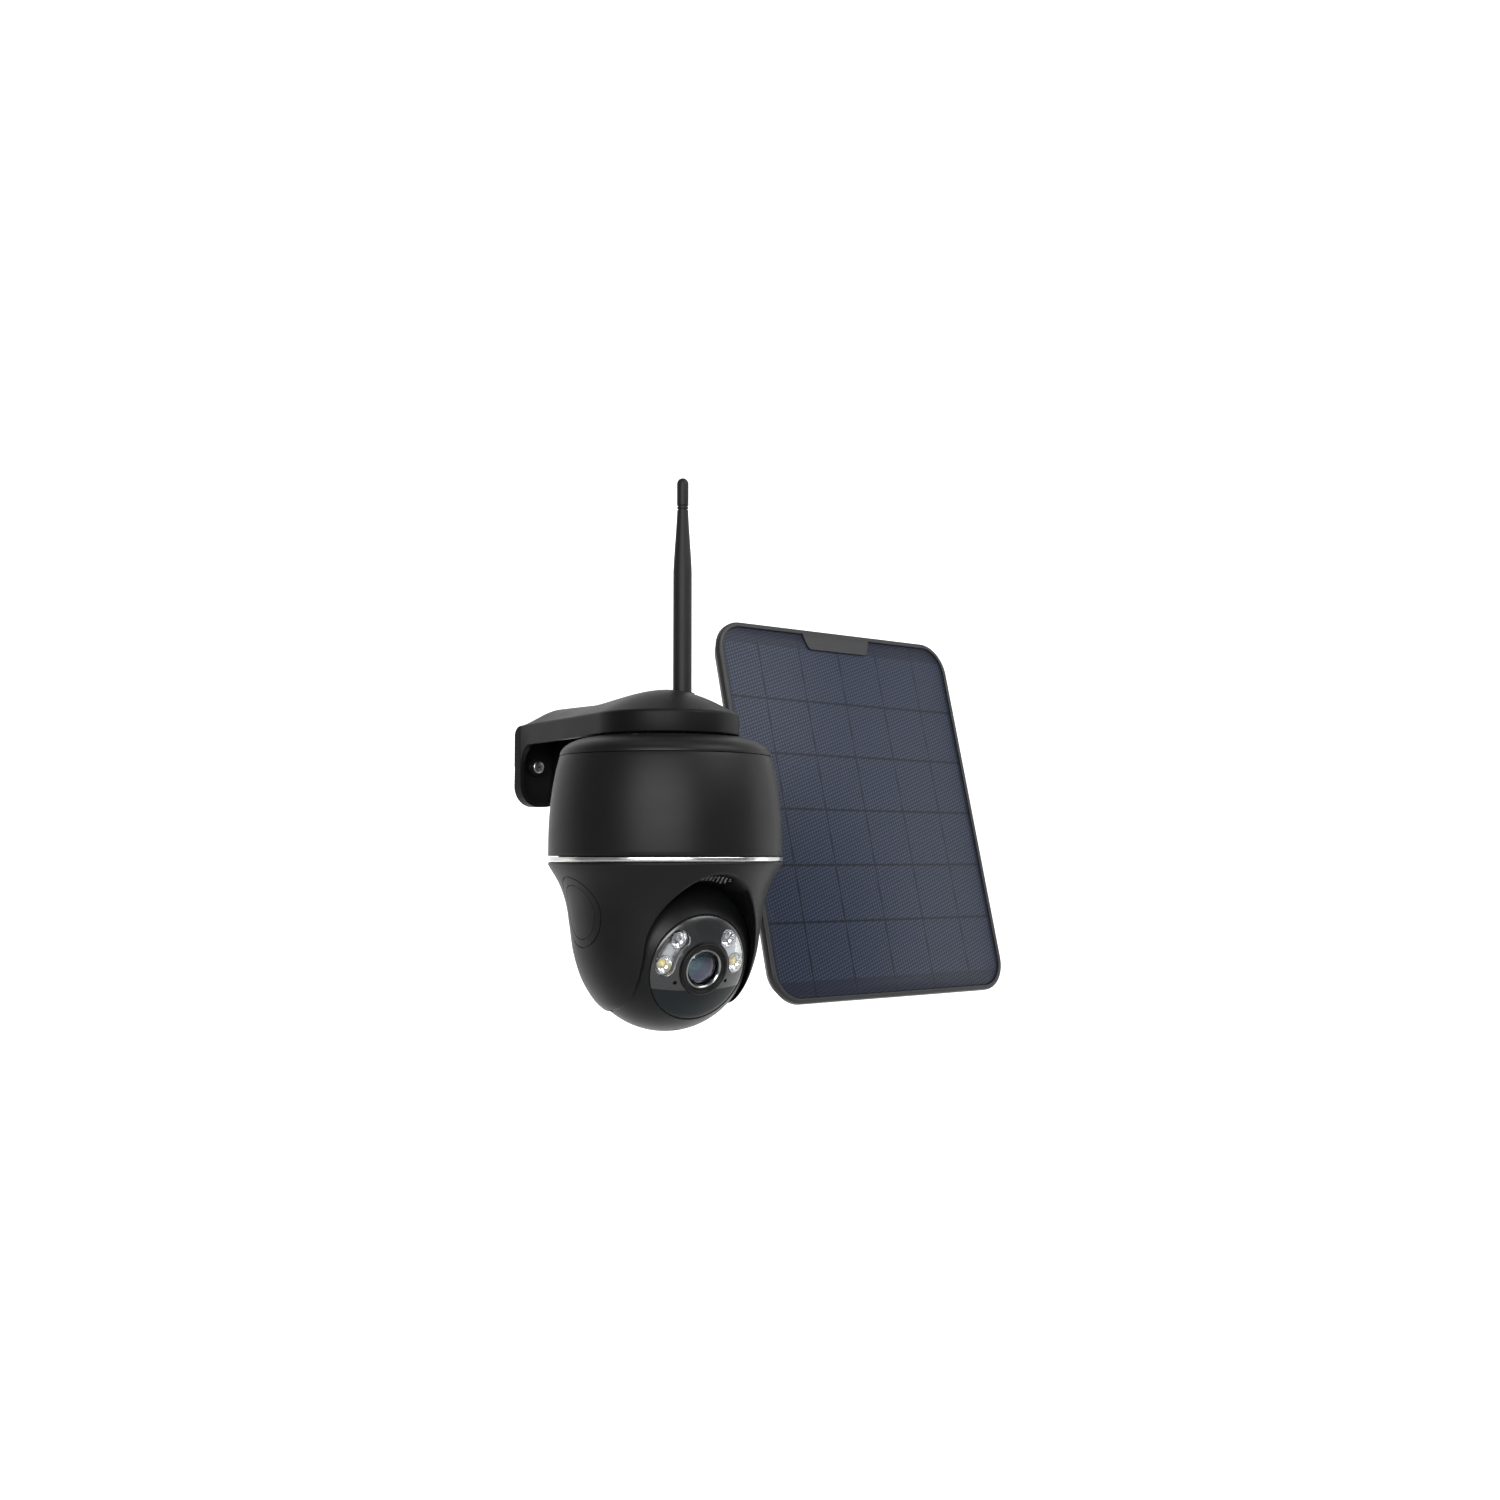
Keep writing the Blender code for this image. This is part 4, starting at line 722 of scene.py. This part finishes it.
def make_back_fittings():
    """Rubber flap over the socket, with a ribbed tab, and the button beside it."""
    outer_y = math.sqrt(barrel_radius(BUTTON_Z) ** 2 - 8.2 ** 2)
    flap = prism(rounded_rectangle(16.3, 8.8, 1.0), 0, 1.6, 0.3)
    ribs = joined(*[block((-2.6, -2.6 + k * 1.1, -0.5), (2.6, -2.2 + k * 1.1, 0.2)) for k in range(3)])
    flap = carved(flap, (ADD, moved(ribs, 0, -0.4, 1.7)))
    flap = moved(lay(flap, turn(-90, 'X') @ turn(180, 'Z')), 0, -1.6, 4.4)
    piece("port_flap", flap, BASE @ shift(0, outer_y, 9.8), "rubber", "port_cover", ["port_cover"])
    button = fillet([(0, -5.5), (3.15, -5.5), (3.15, 0.9, 0.6), (2.0, 0.9), (1.7, 0.65, 0.2), (0, 0.65)])
    x, y = spot(90 + BUTTON_ANGLE, BUTTON_SEAT_R)
    place = BASE @ shift(x, y, BUTTON_Z) @ turn(BUTTON_ANGLE, 'Z') @ turn(-90, 'X')
    piece("button_cap", turned(button, ROUND), place, "rubber", "power_button", ["power_button"])


# ---- pan head
def spline(points, steps):
    """Catmull-Rom curve through the points."""
    ends = [points[0]] + list(points) + [points[-1]]
    out = []
    for a, b, c, d in zip(ends, ends[1:], ends[2:], ends[3:]):
        for i in range(steps):
            t = i / steps
            out.append(tuple(0.5 * (2 * q + (r - p) * t + (2 * p - 5 * q + 4 * r - s) * t * t
                                    + (3 * q - p - 3 * r + s) * t ** 3) for p, q, r, s in zip(a, b, c, d)))
    return out + [points[-1]]


def yoke_curve(steps=6):
    points = [(49.0, YOKE_TOP_Z - 0.9), (48.2, -4.4), (44.2, -11.3), (41.4, -19.5), (39.9, -28.9),
              (38.2, -40.0), (34.7, -50.8), (29.6, -59.2), (25.4, YOKE_BOTTOM_Z)]
    return spline(points, steps)


def yoke_radius(z):
    curve = yoke_curve()
    for (r1, z1), (r2, z2) in zip(curve, curve[1:]):
        if z2 <= z <= z1:
            return r1 + (r2 - r1) * (z - z1) / (z2 - z1)
    return curve[0][0] if z > curve[0][1] else curve[-1][0]


def opening_at(y, steps=48, bottom=-75.0):
    """(x, z) outline of the opening at y: half an ellipse on legs, taller towards the front."""
    height = OPENING_HEIGHT - OPENING_FLARE * y
    shape = [(OPENING_HALF * x, BALL_Z + height * z) for x, z in arc(0, 0, 1.0, 0, 180, steps)]
    return [(OPENING_HALF, bottom)] + shape + [(-OPENING_HALF, bottom)]


def opening_chamfer(depth):
    """Cutter that breaks the opening's edge where it meets the yoke's outer skin."""
    rim = []
    near, far = OPENING_BACK_Y, OPENING_FRONT_Y
    lowest = YOKE_BOTTOM_Z + 0.9
    first, second = opening_at(near, bottom=lowest), opening_at(far, bottom=lowest)

    def between(start, end, steps=20):
        return [tuple(a + (b - a) * i / steps for a, b in zip(start, end)) for i in range(steps + 1)]

    def refined(shape):
        return between(shape[0], shape[1])[:-1] + shape[1:-1] + between(shape[-2], shape[-1])[1:]

    for (x1, z1), (x2, z2) in zip(refined(first), refined(second)):
        low_t, high_t = 0.0, 1.0
        for _ in range(24):
            t = (low_t + high_t) / 2
            x, y, z = x1 + (x2 - x1) * t, near + (far - near) * t, z1 + (z2 - z1) * t
            if math.hypot(x, y) > yoke_radius(z):
                high_t = t
            else:
                low_t = t
        rim.append(Vector((x, y, z)))
    rings = []
    for point in rim:
        normal = Vector((point.x, point.y, 0)).normalized()
        away = Vector((point.x, 0, max(0.0, point.z - BALL_Z)))
        away = (away - normal * away.dot(normal)).normalized()
        over = 0.2
        rings.append([tuple(point - normal * depth - away * over),
                      tuple(point + away * depth + normal * over),
                      tuple(point + normal * depth * 2 - away * depth * 2)])
    return stack(rings)


def skin_band(outer_inset, inner_inset, steps=6):
    """The yoke's outer skin as a band between two depths below it."""
    curve = yoke_curve(steps)
    outer = [(r - outer_inset, z) for r, z in curve]
    return turned(outer + [(r - inner_inset, z) for r, z in reversed(curve)])


def side_tool(side, radius, inner=0.0, segments=96):
    """Cylinder or tube along X through the side cover's place."""
    if inner:
        bm = turned([(inner, 0), (radius, 0), (radius, 20), (inner, 20)], segments)
    else:
        bm = drum(radius, 0, 20, segments)
    tilt = Matrix.Rotation(math.radians(5), 4, 'X')
    return lay(along_x(bm), Matrix.Translation((side * 38 - 10, 0, SIDE_COVER_Z)) @ tilt)


def make_pan_head():
    curve = yoke_curve()
    top_rim = [(47.6, YOKE_TOP_Z), (48.5, YOKE_TOP_Z + 0.12), (48.9, YOKE_TOP_Z - 0.3)]
    rim_r = math.sqrt(SOCKET_R ** 2 - (YOKE_BOTTOM_Z - BALL_Z) ** 2)
    top_r = math.sqrt(SOCKET_R ** 2 - (YOKE_TOP_Z - BALL_Z) ** 2)
    start = math.degrees(math.atan2(YOKE_BOTTOM_Z - BALL_Z, rim_r))
    end = math.degrees(math.atan2(YOKE_TOP_Z - BALL_Z, top_r))
    socket = arc(0, BALL_Z, SOCKET_R, start, end, 36)
    body = turned(top_rim + curve + socket)
    mouth = stack([[(x, y, z) for x, z in opening_at(y)] for y in (OPENING_BACK_Y, OPENING_FRONT_Y)])
    holes, mesh_dots = [], []
    for row in range(SPEAKER_ROWS):
        for column in range(SPEAKER_COLUMNS):
            x = (column - (SPEAKER_COLUMNS - 1) / 2) * 1.75 + (0.87 if row % 2 else 0.0) - 0.4
            y = SPEAKER_Y - 4.2 + row * 1.9
            ceiling = BALL_Z + (OPENING_HEIGHT - OPENING_FLARE * y) * math.sqrt(1 - (x / OPENING_HALF) ** 2)
            holes.append(moved(drum(0.48, -14.5, -3.0, 12), x, y, 0))
            mesh_dots.append(moved(drum(0.44, -0.05, 0.6, 12), x, y, ceiling))
    # the dots wear the grey that is painted lighter for light the opening's ceiling does not get
    piece("speaker_mesh", joined(*mesh_dots), PAN, "motor", "pan_head", look="mesh")
    speaker_seat = moved(drum(9.0, -7.2, 5), 0, SPEAKER_Y, 0)
    steps = [(CUT, mouth), (CUT, opening_chamfer(0.55)), (CUT, speaker_seat), (CUT, joined(*holes))]
    for side, name in ((-1, "left"), (1, "right")):
        recess = side_tool(side, SIDE_COVER_R + 0.22)
        groove = side_tool(side, SIDE_GROOVE_R + 0.2, SIDE_GROOVE_R - 0.2)
        axle_hole = along_x(drum(3.1, *sorted((side * 33.0, side * 37.7)), 32))
        steps.append((CUT, carved(skin_band(-1.5, 1.9), (KEEP, recess))))
        steps.append((CUT, carved(skin_band(-1.5, 0.45), (KEEP, groove))))
        steps.append((CUT, moved(axle_hole, 0, 0, BALL_Z)))
        plate = carved(skin_band(0.04, 1.7), (KEEP, side_tool(side, SIDE_COVER_R)))
        piece("side_plate_" + name, plate, PAN, "housing", "pan_head", ["side_cover_" + name])
    piece("yoke", carved(body, *steps), PAN, "housing", "pan_head", ["yoke_shell"], sharp=52)


# ---- tilting ball
def face_height(radius):
    """How far in front of the tilt axis the convex face stands, at a radius from its centre."""
    centre = -FACE_EDGE_Y - math.sqrt(FACE_CURVE_R ** 2 - FACE_R ** 2)
    return centre + math.sqrt(FACE_CURVE_R ** 2 - radius ** 2)


def face_disc(near, far, radius, edge=0.0):
    """Convex disc between two depths behind the face, its front edge softened."""
    radii = [radius * i / 20 for i in range(21)]
    front = [(r, face_height(r) - near) for r in reversed(radii)]
    if edge:
        rim = face_height(radius) - near
        front[0:1] = [(radius, rim - edge), (radius - edge * 0.3, rim - edge * 0.3)]
        front[2:3] = [(radius - edge, face_height(radius - edge) - near)]
    return turned([(r, face_height(r) - far) for r in radii] + front)


def bean(side, half, steps=24):
    """Outline of a light window: a band bent round the lens with round ends."""
    low, high = 5.0, 48.0      # degrees round the lens where the band starts and ends
    outer = arc(0, 0, LIGHT_R + half, low, high, steps)
    inner = arc(0, 0, LIGHT_R - half, high, low, steps)
    top = arc(*spot(high, LIGHT_R), half, high, high + 180, 16)[1:-1]
    bottom = arc(*spot(low, LIGHT_R), half, low + 180, low + 360, 16)[1:-1]
    return [(side * x, y) for x, y in outer + top + inner + bottom]


def latitude(height, radius):
    """Degrees above the equator of a ball at a height over its centre."""
    return math.degrees(math.asin(height / radius))


def make_ball_shells():
    """Two halves of the ball, turned about the lens axis; the front one is open for the face."""
    inner_r, mouth = BALL_R - SHELL, FACE_R + 0.12
    end = math.degrees(math.acos((mouth + 0.5) / BALL_R))
    outer = arc(0, 0, BALL_R, latitude(-BALL_SEAM_Y, BALL_R), end, 40)
    top_z = outer[-1][1]
    lip = [(mouth + 0.15, top_z - 0.02), (mouth, top_z - 0.4)]
    inner = arc(0, 0, inner_r, math.degrees(math.acos(mouth / inner_r)), latitude(-BALL_SEAM_Y, inner_r), 12)
    shell = turned(outer + lip + inner)
    axle_holes = [lay(along_x(drum(3.3, 30, 40, 48)), turn(a, 'Z')) for a in (0, 180)]
    notch = lay(prism(rounded_rectangle(3.4, 1.0, 0.45, 5), 33.9, 40), turn(58, 'X'))
    front = carved(shell, (CUT, joined(*axle_holes)), (CUT, notch))
    piece("ball_front", front, LENS, "housing", "tilt_head", ["ball_front_shell"])
    seam = BALL_SEAM_Y + 0.2
    back = arc(0, 0, BALL_R, latitude(-seam, BALL_R), -90, 32)[:-1] + [(0, -BALL_R), (0, -inner_r)]
    back += arc(0, 0, inner_r, -90, latitude(-seam, inner_r), 12)[1:]
    piece("ball_back", turned(back), LENS, "housing", "tilt_head", ["ball_rear_shell"])


def make_face():
    """Gloss face with openings for the lens and lights, and the sensor's window under it."""
    lens_hole = moved(drum(BEZEL_R + 0.12, 0, 60, FINE), 0, LENS_UP, 0)
    cuts = [(CUT, lens_hole), (CUT, block((-30, -30, 20), (30, PIR_TOP + 0.12, 50)))]
    for side in (-1, 1):
        cuts.append((CUT, prism(bean(side, LIGHT_HALF + 0.1), 10, 50)))
        cuts.append((CUT, moved(drum(0.8, 10, 50, 24), side * 11.9, -5.0, 0)))
    face = carved(face_disc(0, 2.2, FACE_R, 0.4), *cuts)
    piece("face_glass", face, LENS, "face", "tilt_head", ["faceplate"], sharp=30)
    gap = moved(drum(BEZEL_R + 0.2, 0, 60, FINE), 0, LENS_UP, 0)
    above = block((-30, PIR_TOP, 10), (30, 40, 50))
    pir = carved(face_disc(0.06, 2.2, FACE_R, 0.4), (CUT, above), (CUT, gap))
    piece("sensor_window", pir, LENS, "pir", "tilt_head", ["pir_window"], sharp=30)


def make_lights(side, name):
    """One window with its tray, and an infrared and a white light in it, each in a stepped reflector cup."""
    pane = carved(prism(bean(side, LIGHT_HALF), 10, 50), (KEEP, face_disc(0.05, 0.9, FACE_R)))
    piece("light_pane_" + name, pane, LENS, "window", "tilt_head", ["light_window_" + name])
    seats = []
    for kind, angle, slot_name in (("infrared", 47.0, "chip_ir"), ("white", 7.0, "chip_white")):
        x, y = spot(angle, LIGHT_R)
        x *= side
        place = LENS @ shift(x, y, 0)
        seats.append(moved(drum(3.98, 25.9, 30, 60), x, y, 0))
        cup = [(1.95, 25.95), (2.0, 26.1), (2.3, 26.4), (2.32, 26.62), (2.85, 27.1), (2.9, 27.32),
               (3.35, 28.0), (3.4, 28.25), (3.66, 28.25), (3.66, 25.95)]
        piece("%s_cup_%s" % (kind, name), turned(cup, ROUND), place, "motor", "tilt_head", look="reflector")
        package = prism(rounded_rectangle(2.7, 2.7, 0.3, 4), 25.6, 26.5, 0.08)
        dome = [(0, 26.2), (1.15, 26.2), (1.15, 26.5)] + arc(0, 26.5, 1.15, 0, 90, 10)[1:-1] + [(0, 27.6)]
        chip = carved(package, (ADD, turned(dome, 40)))
        piece("%s_emitter_%s" % (kind, name), chip, place, slot_name, "tilt_head",
              ["%s_led_%s" % (kind, name)])
    tray = carved(prism(bean(side, LIGHT_HALF - 0.1), 25.2, 28.0), (CUT, joined(*seats)))
    piece("light_tray_" + name, tray, LENS, "motor", "tilt_head", look="tray")


def make_lens():
    """Surround, bright ring, stepped baffle, inner element and front glass, from the outside in."""
    bezel = fillet([(8.25, 24.0), (BEZEL_R, 24.0), (BEZEL_R, 32.9, 0.9), (9.6, 33.1, 0.4),
                    (9.2, 32.3, 0.25), (8.7, 32.3, 0.2), (8.25, 32.1, 0.2)], 5)
    piece("lens_surround", turned(bezel), LENS_CENTRE, "face", "tilt_head", ["lens_bezel"], look="housing")
    ring = fillet([(7.3, 29.6), (8.2, 29.6), (8.2, 32.2, 0.25), (7.7, 32.35, 0.2), (7.2, 31.7, 0.2)], 4)
    piece("lens_bright_ring", turned(ring), LENS_CENTRE, "chrome", "tilt_head", ["lens_ring"],
          look="dark_chrome")
    baffle = [(0, 8.0), (6.9, 8.0), (7.1, 29.2), (6.7, 29.3)]
    for k in range(6):
        radius, z = 6.5 - k * 0.55, 28.9 - k * 0.55
        baffle += [(radius, z), (radius - 0.12, z - 0.35)]
    baffle += [(3.1, 25.2), (0, 25.2)]
    piece("lens_baffle", turned(baffle), LENS_CENTRE, "motor", "tilt_head", ["lens_barrel"], look="iris")
    swell = [math.pi / 2 * (1 - i / 12) * 0.93 for i in range(12)]
    element = [(0, 25.3), (3.2, 25.3)] + [(3.4 * math.sin(t), 24.9 + 1.6 * math.cos(t)) for t in swell]
    element = turned(element + [(0, 26.5)], ROUND)
    piece("lens_inner_element", element, LENS_CENTRE, "lens", "tilt_head", look="element")
    dome = [(7.05 * x, 29.4 + 2.3 * z) for z, x in arc(0, 0, 1.0, 90, 0, 20)[:-1]]
    hollow = [(6.6 * x, 29.2 + 1.4 * z) for z, x in arc(0, 0, 1.0, 0, 90, 16)[1:]]
    glass = turned(dome + [(0, 31.7), (0, 30.6)] + hollow, ROUND)
    piece("lens_front_glass", glass, LENS_CENTRE, "lens", "tilt_head", ["lens_glass"])


# ---- solar panel
def panel_ring(inset, depth):
    """One ring round the panel, at a distance in from its edge and behind its face."""
    outline = rounded_rectangle(PANEL_W - 2 * inset, PANEL_H - 2 * inset, PANEL_CORNER - inset, 14)
    return [(x, y, PANEL_TILT_BACK - depth) for x, y in outline]


def make_panel():
    """Rim with its blank tab, sheet of cells, back case with screws and gland, hinge and its bolt."""
    section = fillet([(0.0, 3.2, 0.3), (0.0, 0.0, 1.3), (PANEL_RIM, 0.0, 0.35), (PANEL_RIM, 3.2)], 5)
    frame_skin = stack([panel_ring(i, d) for i, d in section], closed=True)
    top = PANEL_H / 2 - PANEL_RIM
    tab = [(-24.0, top + 0.8), (-21.6, top - 4.6)] + arc(-18.2, top - 4.4, 3.4, 185, 270, 10)
    tab += arc(18.2, top - 4.4, 3.4, 270, 355, 10) + [(21.6, top - 4.6), (24.0, top + 0.8)]
    tab = prism(tab, PANEL_TILT_BACK - 1.6, PANEL_TILT_BACK + 0.08, 0.3)
    piece("panel_rim", carved(frame_skin, (ADD, tab)), FACE, "frame", "panel", ["panel_frame"])
    section = ((0.1, 2.9), (0.1, 1.0), (0.4, 0.8))
    sheet = stack([panel_ring(PANEL_RIM + inset, depth) for inset, depth in section])
    piece("cell_sheet", sheet, FACE, "cells", "panel", ["solar_laminate"])

    wall = [(1.2, 3.4), (1.6, 4.2), (4.2, 8.6), (4.9, 9.3), (6.0, 9.5)]
    case = stack([panel_ring(i, d) for i, d in wall])
    back = PANEL_TILT_BACK - 9.5
    cuts = []
    for y in (-62.0, 62.0):
        cuts.append(moved(prism(rounded_rectangle(120, 40, 6), back - 1, back + 0.6), 0, y, 0))
    for x in (-48.0, 48.0):
        cuts.append(moved(prism(rounded_rectangle(40, 66, 6), back - 1, back + 0.6), x, 0, 0))
    case = carved(case, (CUT, joined(*cuts)), (CUT, moved(drum(3.5, 0, back + 4), 0, GLAND_Z, 0)))
    piece("panel_shell", case, FACE, "case", "panel", ["panel_back_case"])
    for index, (x, y) in enumerate([(-70, 82), (70, 82), (-70, -82), (70, -82), (0, 81), (0, -81)]):
        place = FACE @ shift(x, y, back) @ turn(180, 'X') @ turn(17 * index, 'Z')
        fixing = cross_screw(2.4, 0.9, 1.0, 2.5, 0.4, 0.6)
        piece("case_fixing_%d" % (index + 1), fixing, place, "steel", "panel")
    nut = prism(arc(0, 0, 5.4, 0, 300, 5), back - 4.2, back - 0.2, 0.3)
    throat = turned(fillet([(1.6, back - 6.3), (3.6, back - 6.3, 0.7), (4.3, back - 4.0), (4.3, back - 1.0),
                            (3.3, back - 1.0), (3.3, back + 1.8), (1.6, back + 1.8)]), ROUND)
    piece("lead_gland", joined(nut, throat), FACE @ shift(0, GLAND_Z, 0), "rubber", "panel", ["cable_gland"])

    foot_top = back - GAP
    foot = prism(rounded_rectangle(34, 44, 6), foot_top - 3.0, foot_top, 0.5)
    steps = []
    for side in (-1, 1):
        near, far = sorted((side * 6.3, side * 10.8))
        ear = [(-8.5, foot_top - 1)] + arc(0, 0, 8.5, 180, 360, 40) + [(8.5, foot_top - 1)]
        cheek = lay(prism(ear, near, far, 0.5), turn(90, 'Z') @ turn(90, 'X'))
        steps.append((ADD, cheek))
    steps.append((CUT, along_x(drum(2.7, -20, 20, 40))))
    piece("panel_hinge", carved(foot, *steps), FACE, "bracket", "panel", ["panel_clevis"])
    knob = [spot(a, 7.4 if k % 2 else 6.7) for k, a in enumerate(range(0, 360, 10))]
    head = prism([(x * 0.6, y * 0.6) for x, y in knob], -15.2, -11.1, 0.3)
    shank = drum(2.45, -11.3, 16.0, 40)
    piece("hinge_bolt", along_x(joined(head, shank)), LEAN, "steel", "panel", ["tilt_bolt"])


def make_panel_bracket():
    """Wall plate with two lugs, and the arm that swings between them and carries the panel's hinge."""
    upright = turn(90, 'X')
    plate = lay(prism(rounded_rectangle(46, 64, 10), 0.0, 4.0, 0.6), upright)
    steps = []
    for side in (-1, 1):
        low = 8.3 if side > 0 else -13.3
        lug = [(-8, -1.0)] + arc(0, -14, 8.0, 180, 360, 40) + [(8, -1.0)]
        steps.append((ADD, prism(lug, low, low + 5, 0.5)))
        steps.append((CUT, moved(along_y(drum(2.2, -10, 2, 40)), 0, 0, side * PANEL_SCREW_Z)))
        screw = moved(lay(cross_screw(3.6, 2.2, 1.8, 3.9, 1.2, 1.1), upright), 0, -4.25, 0)
        number = 1 if side > 0 else 2
        piece("base_fixing_%d" % number, screw, POST @ shift(0, 0, side * PANEL_SCREW_Z), "steel", "root",
              ["panel_base_screw_%d" % number])
    steps.append((CUT, moved(drum(2.7, -20, 20, 40), 0, SWIVEL_Y, 0)))
    piece("panel_wall_plate", carved(plate, *steps), POST, "bracket", "root", ["panel_wall_base"])
    tilt_y = PANEL_FACE_Y + PANEL_TILT_BACK - SWIVEL_Y
    outline = [(6, tilt_y), (6, -3.6)] + arc(0, 0, 7.0, 20, 160, 32) + [(-6, -3.6), (-6, tilt_y)]
    nose = lay(along_x(prism(arc(0, 0, 7.7, 0, 354, 59), -5.9, 5.9, 0.4)), Matrix.Translation((0, tilt_y, 0)))
    bore = moved(along_x(drum(2.7, -20, 20, 40)), 0, tilt_y, 0)
    arm = carved(prism(outline, -7.8, 7.8, 0.4), (CUT, drum(2.7, -20, 20, 40)), (ADD, nose), (CUT, bore))
    piece("panel_arm", arm, SWIVEL, "bracket", "panel_swivel", ["swivel_arm"])


make_bracket()
make_wall_screw()
make_antenna()
make_barrel()
make_top_cover()
make_waist_ring()
make_back_fittings()
make_pan_head()
make_ball_shells()
make_face()
make_lights(-1, "left")
make_lights(1, "right")
make_lens()
make_panel()
make_panel_bracket()


# ---- stage, light and camera
def backdrop():
    """Floor that sweeps up into a back wall, dimmest under the object so that little light is thrown up."""
    low, reach, bend = -0.42, 2.6, 1.2
    line = [(-3.2, low), (reach - bend, low)]
    line += [(reach - bend + bend * math.sin(a), low + bend * (1 - math.cos(a)))
             for a in [math.pi / 2 * i / 24 for i in range(1, 25)]] + [(reach, 4.0)]
    bm = bmesh.new()
    rows = [[bm.verts.new((x, y, z)) for y, z in line] for x in (-6.0, 6.0)]
    for i in range(len(line) - 1):
        bm.faces.new((rows[0][i], rows[1][i], rows[1][i + 1], rows[0][i + 1]))
    mesh = bpy.data.meshes.new("backdrop")
    bm.to_mesh(mesh)
    bm.free()
    mesh.shade_smooth()
    obj = bpy.data.objects.new("backdrop", mesh)
    bpy.context.scene.collection.objects.link(obj)
    obj.matrix_world = turn(VIEW_AZIMUTH, 'Z')
    n = Nodes("backdrop_paper")
    n.set(Roughness=0.9, Specular_IOR_Level=0.1)
    depth = n.add("ShaderNodeSeparateXYZ", Vector=n.coords).outputs["Y"]
    near = n.mix(n.noise(3.0), (0.60, 0.60, 0.60), (0.62, 0.62, 0.62))
    paper = n.mix(n.ramp(depth, -0.15, 0.30, 0.0, 1.0), near, (0.86, 0.86, 0.86))
    n.link(paper, "Base Color")
    n.link(paper, "Emission Color")
    behind, beyond = n.ramp(depth, -0.8, -2.0, 0.05, 0.60), n.ramp(depth, -0.15, 0.30, 0.05, 0.96)
    n.link(n.math('MAXIMUM', behind, beyond), "Emission Strength")
    mesh.materials.append(n.mat)


def softbox(name, azimuth, elevation, distance, size, watts, target):
    """Area light looking at target, from azimuth degrees round it (0 is the front, 90 the right)."""
    light = bpy.data.lights.new(name, 'AREA')
    light.shape = 'RECTANGLE'
    light.size, light.size_y = size
    light.energy = watts
    obj = bpy.data.objects.new(name, light)
    bpy.context.scene.collection.objects.link(obj)
    a, e = math.radians(azimuth), math.radians(elevation)
    away = Vector((math.sin(a) * math.cos(e), -math.cos(a) * math.cos(e), math.sin(e)))
    obj.location = target + away * distance
    obj.rotation_euler = away.to_track_quat('Z', 'Y').to_euler()


VIEW_AZIMUTH = -42.5
CAMERA_BACK, CAMERA_RIGHT, CAMERA_PITCH, FOCAL = 0.7353, 0.03546, 93.5, 42.0
centre = Vector((0.0, -REACH, -WAIST_DROP)) * MM
world = bpy.data.worlds.new("studio")
bpy.context.scene.world = world
world.use_nodes = True
world.node_tree.nodes["Background"].inputs["Color"].default_value = (1.0, 1.0, 1.0, 1.0)
world.node_tree.nodes["Background"].inputs["Strength"].default_value = 0.27
backdrop()
softbox("key", VIEW_AZIMUTH - 3, 15, 1.3, (1.25, 0.5), 29.0, centre)
softbox("face_light", 26, 42, 1.1, (0.8, 0.6), 12.0, centre)
softbox("top", VIEW_AZIMUTH - 10, 78, 1.1, (0.8, 0.6), 3.0, centre)
softbox("rim_right", VIEW_AZIMUTH + 108, 8, 1.1, (0.3, 0.9), 2.5, centre)
softbox("rim_left", VIEW_AZIMUTH - 104, 8, 1.1, (0.3, 0.9), 0.8, centre)

a = math.radians(VIEW_AZIMUTH)
back = Vector((math.sin(a), -math.cos(a), 0.0)) * CAMERA_BACK
right = Vector((math.cos(a), math.sin(a), 0.0)) * CAMERA_RIGHT
camera_data = bpy.data.cameras.new("camera")
camera_data.lens = FOCAL
camera_data.sensor_width = 36.0
camera_data.clip_start = 0.02
camera = bpy.data.objects.new("camera", camera_data)
bpy.context.scene.collection.objects.link(camera)
camera.location = centre + back + right
camera.rotation_euler = (math.radians(CAMERA_PITCH), 0.0, a)
bpy.context.scene.camera = camera
bpy.context.scene.view_settings.view_transform = 'Standard'
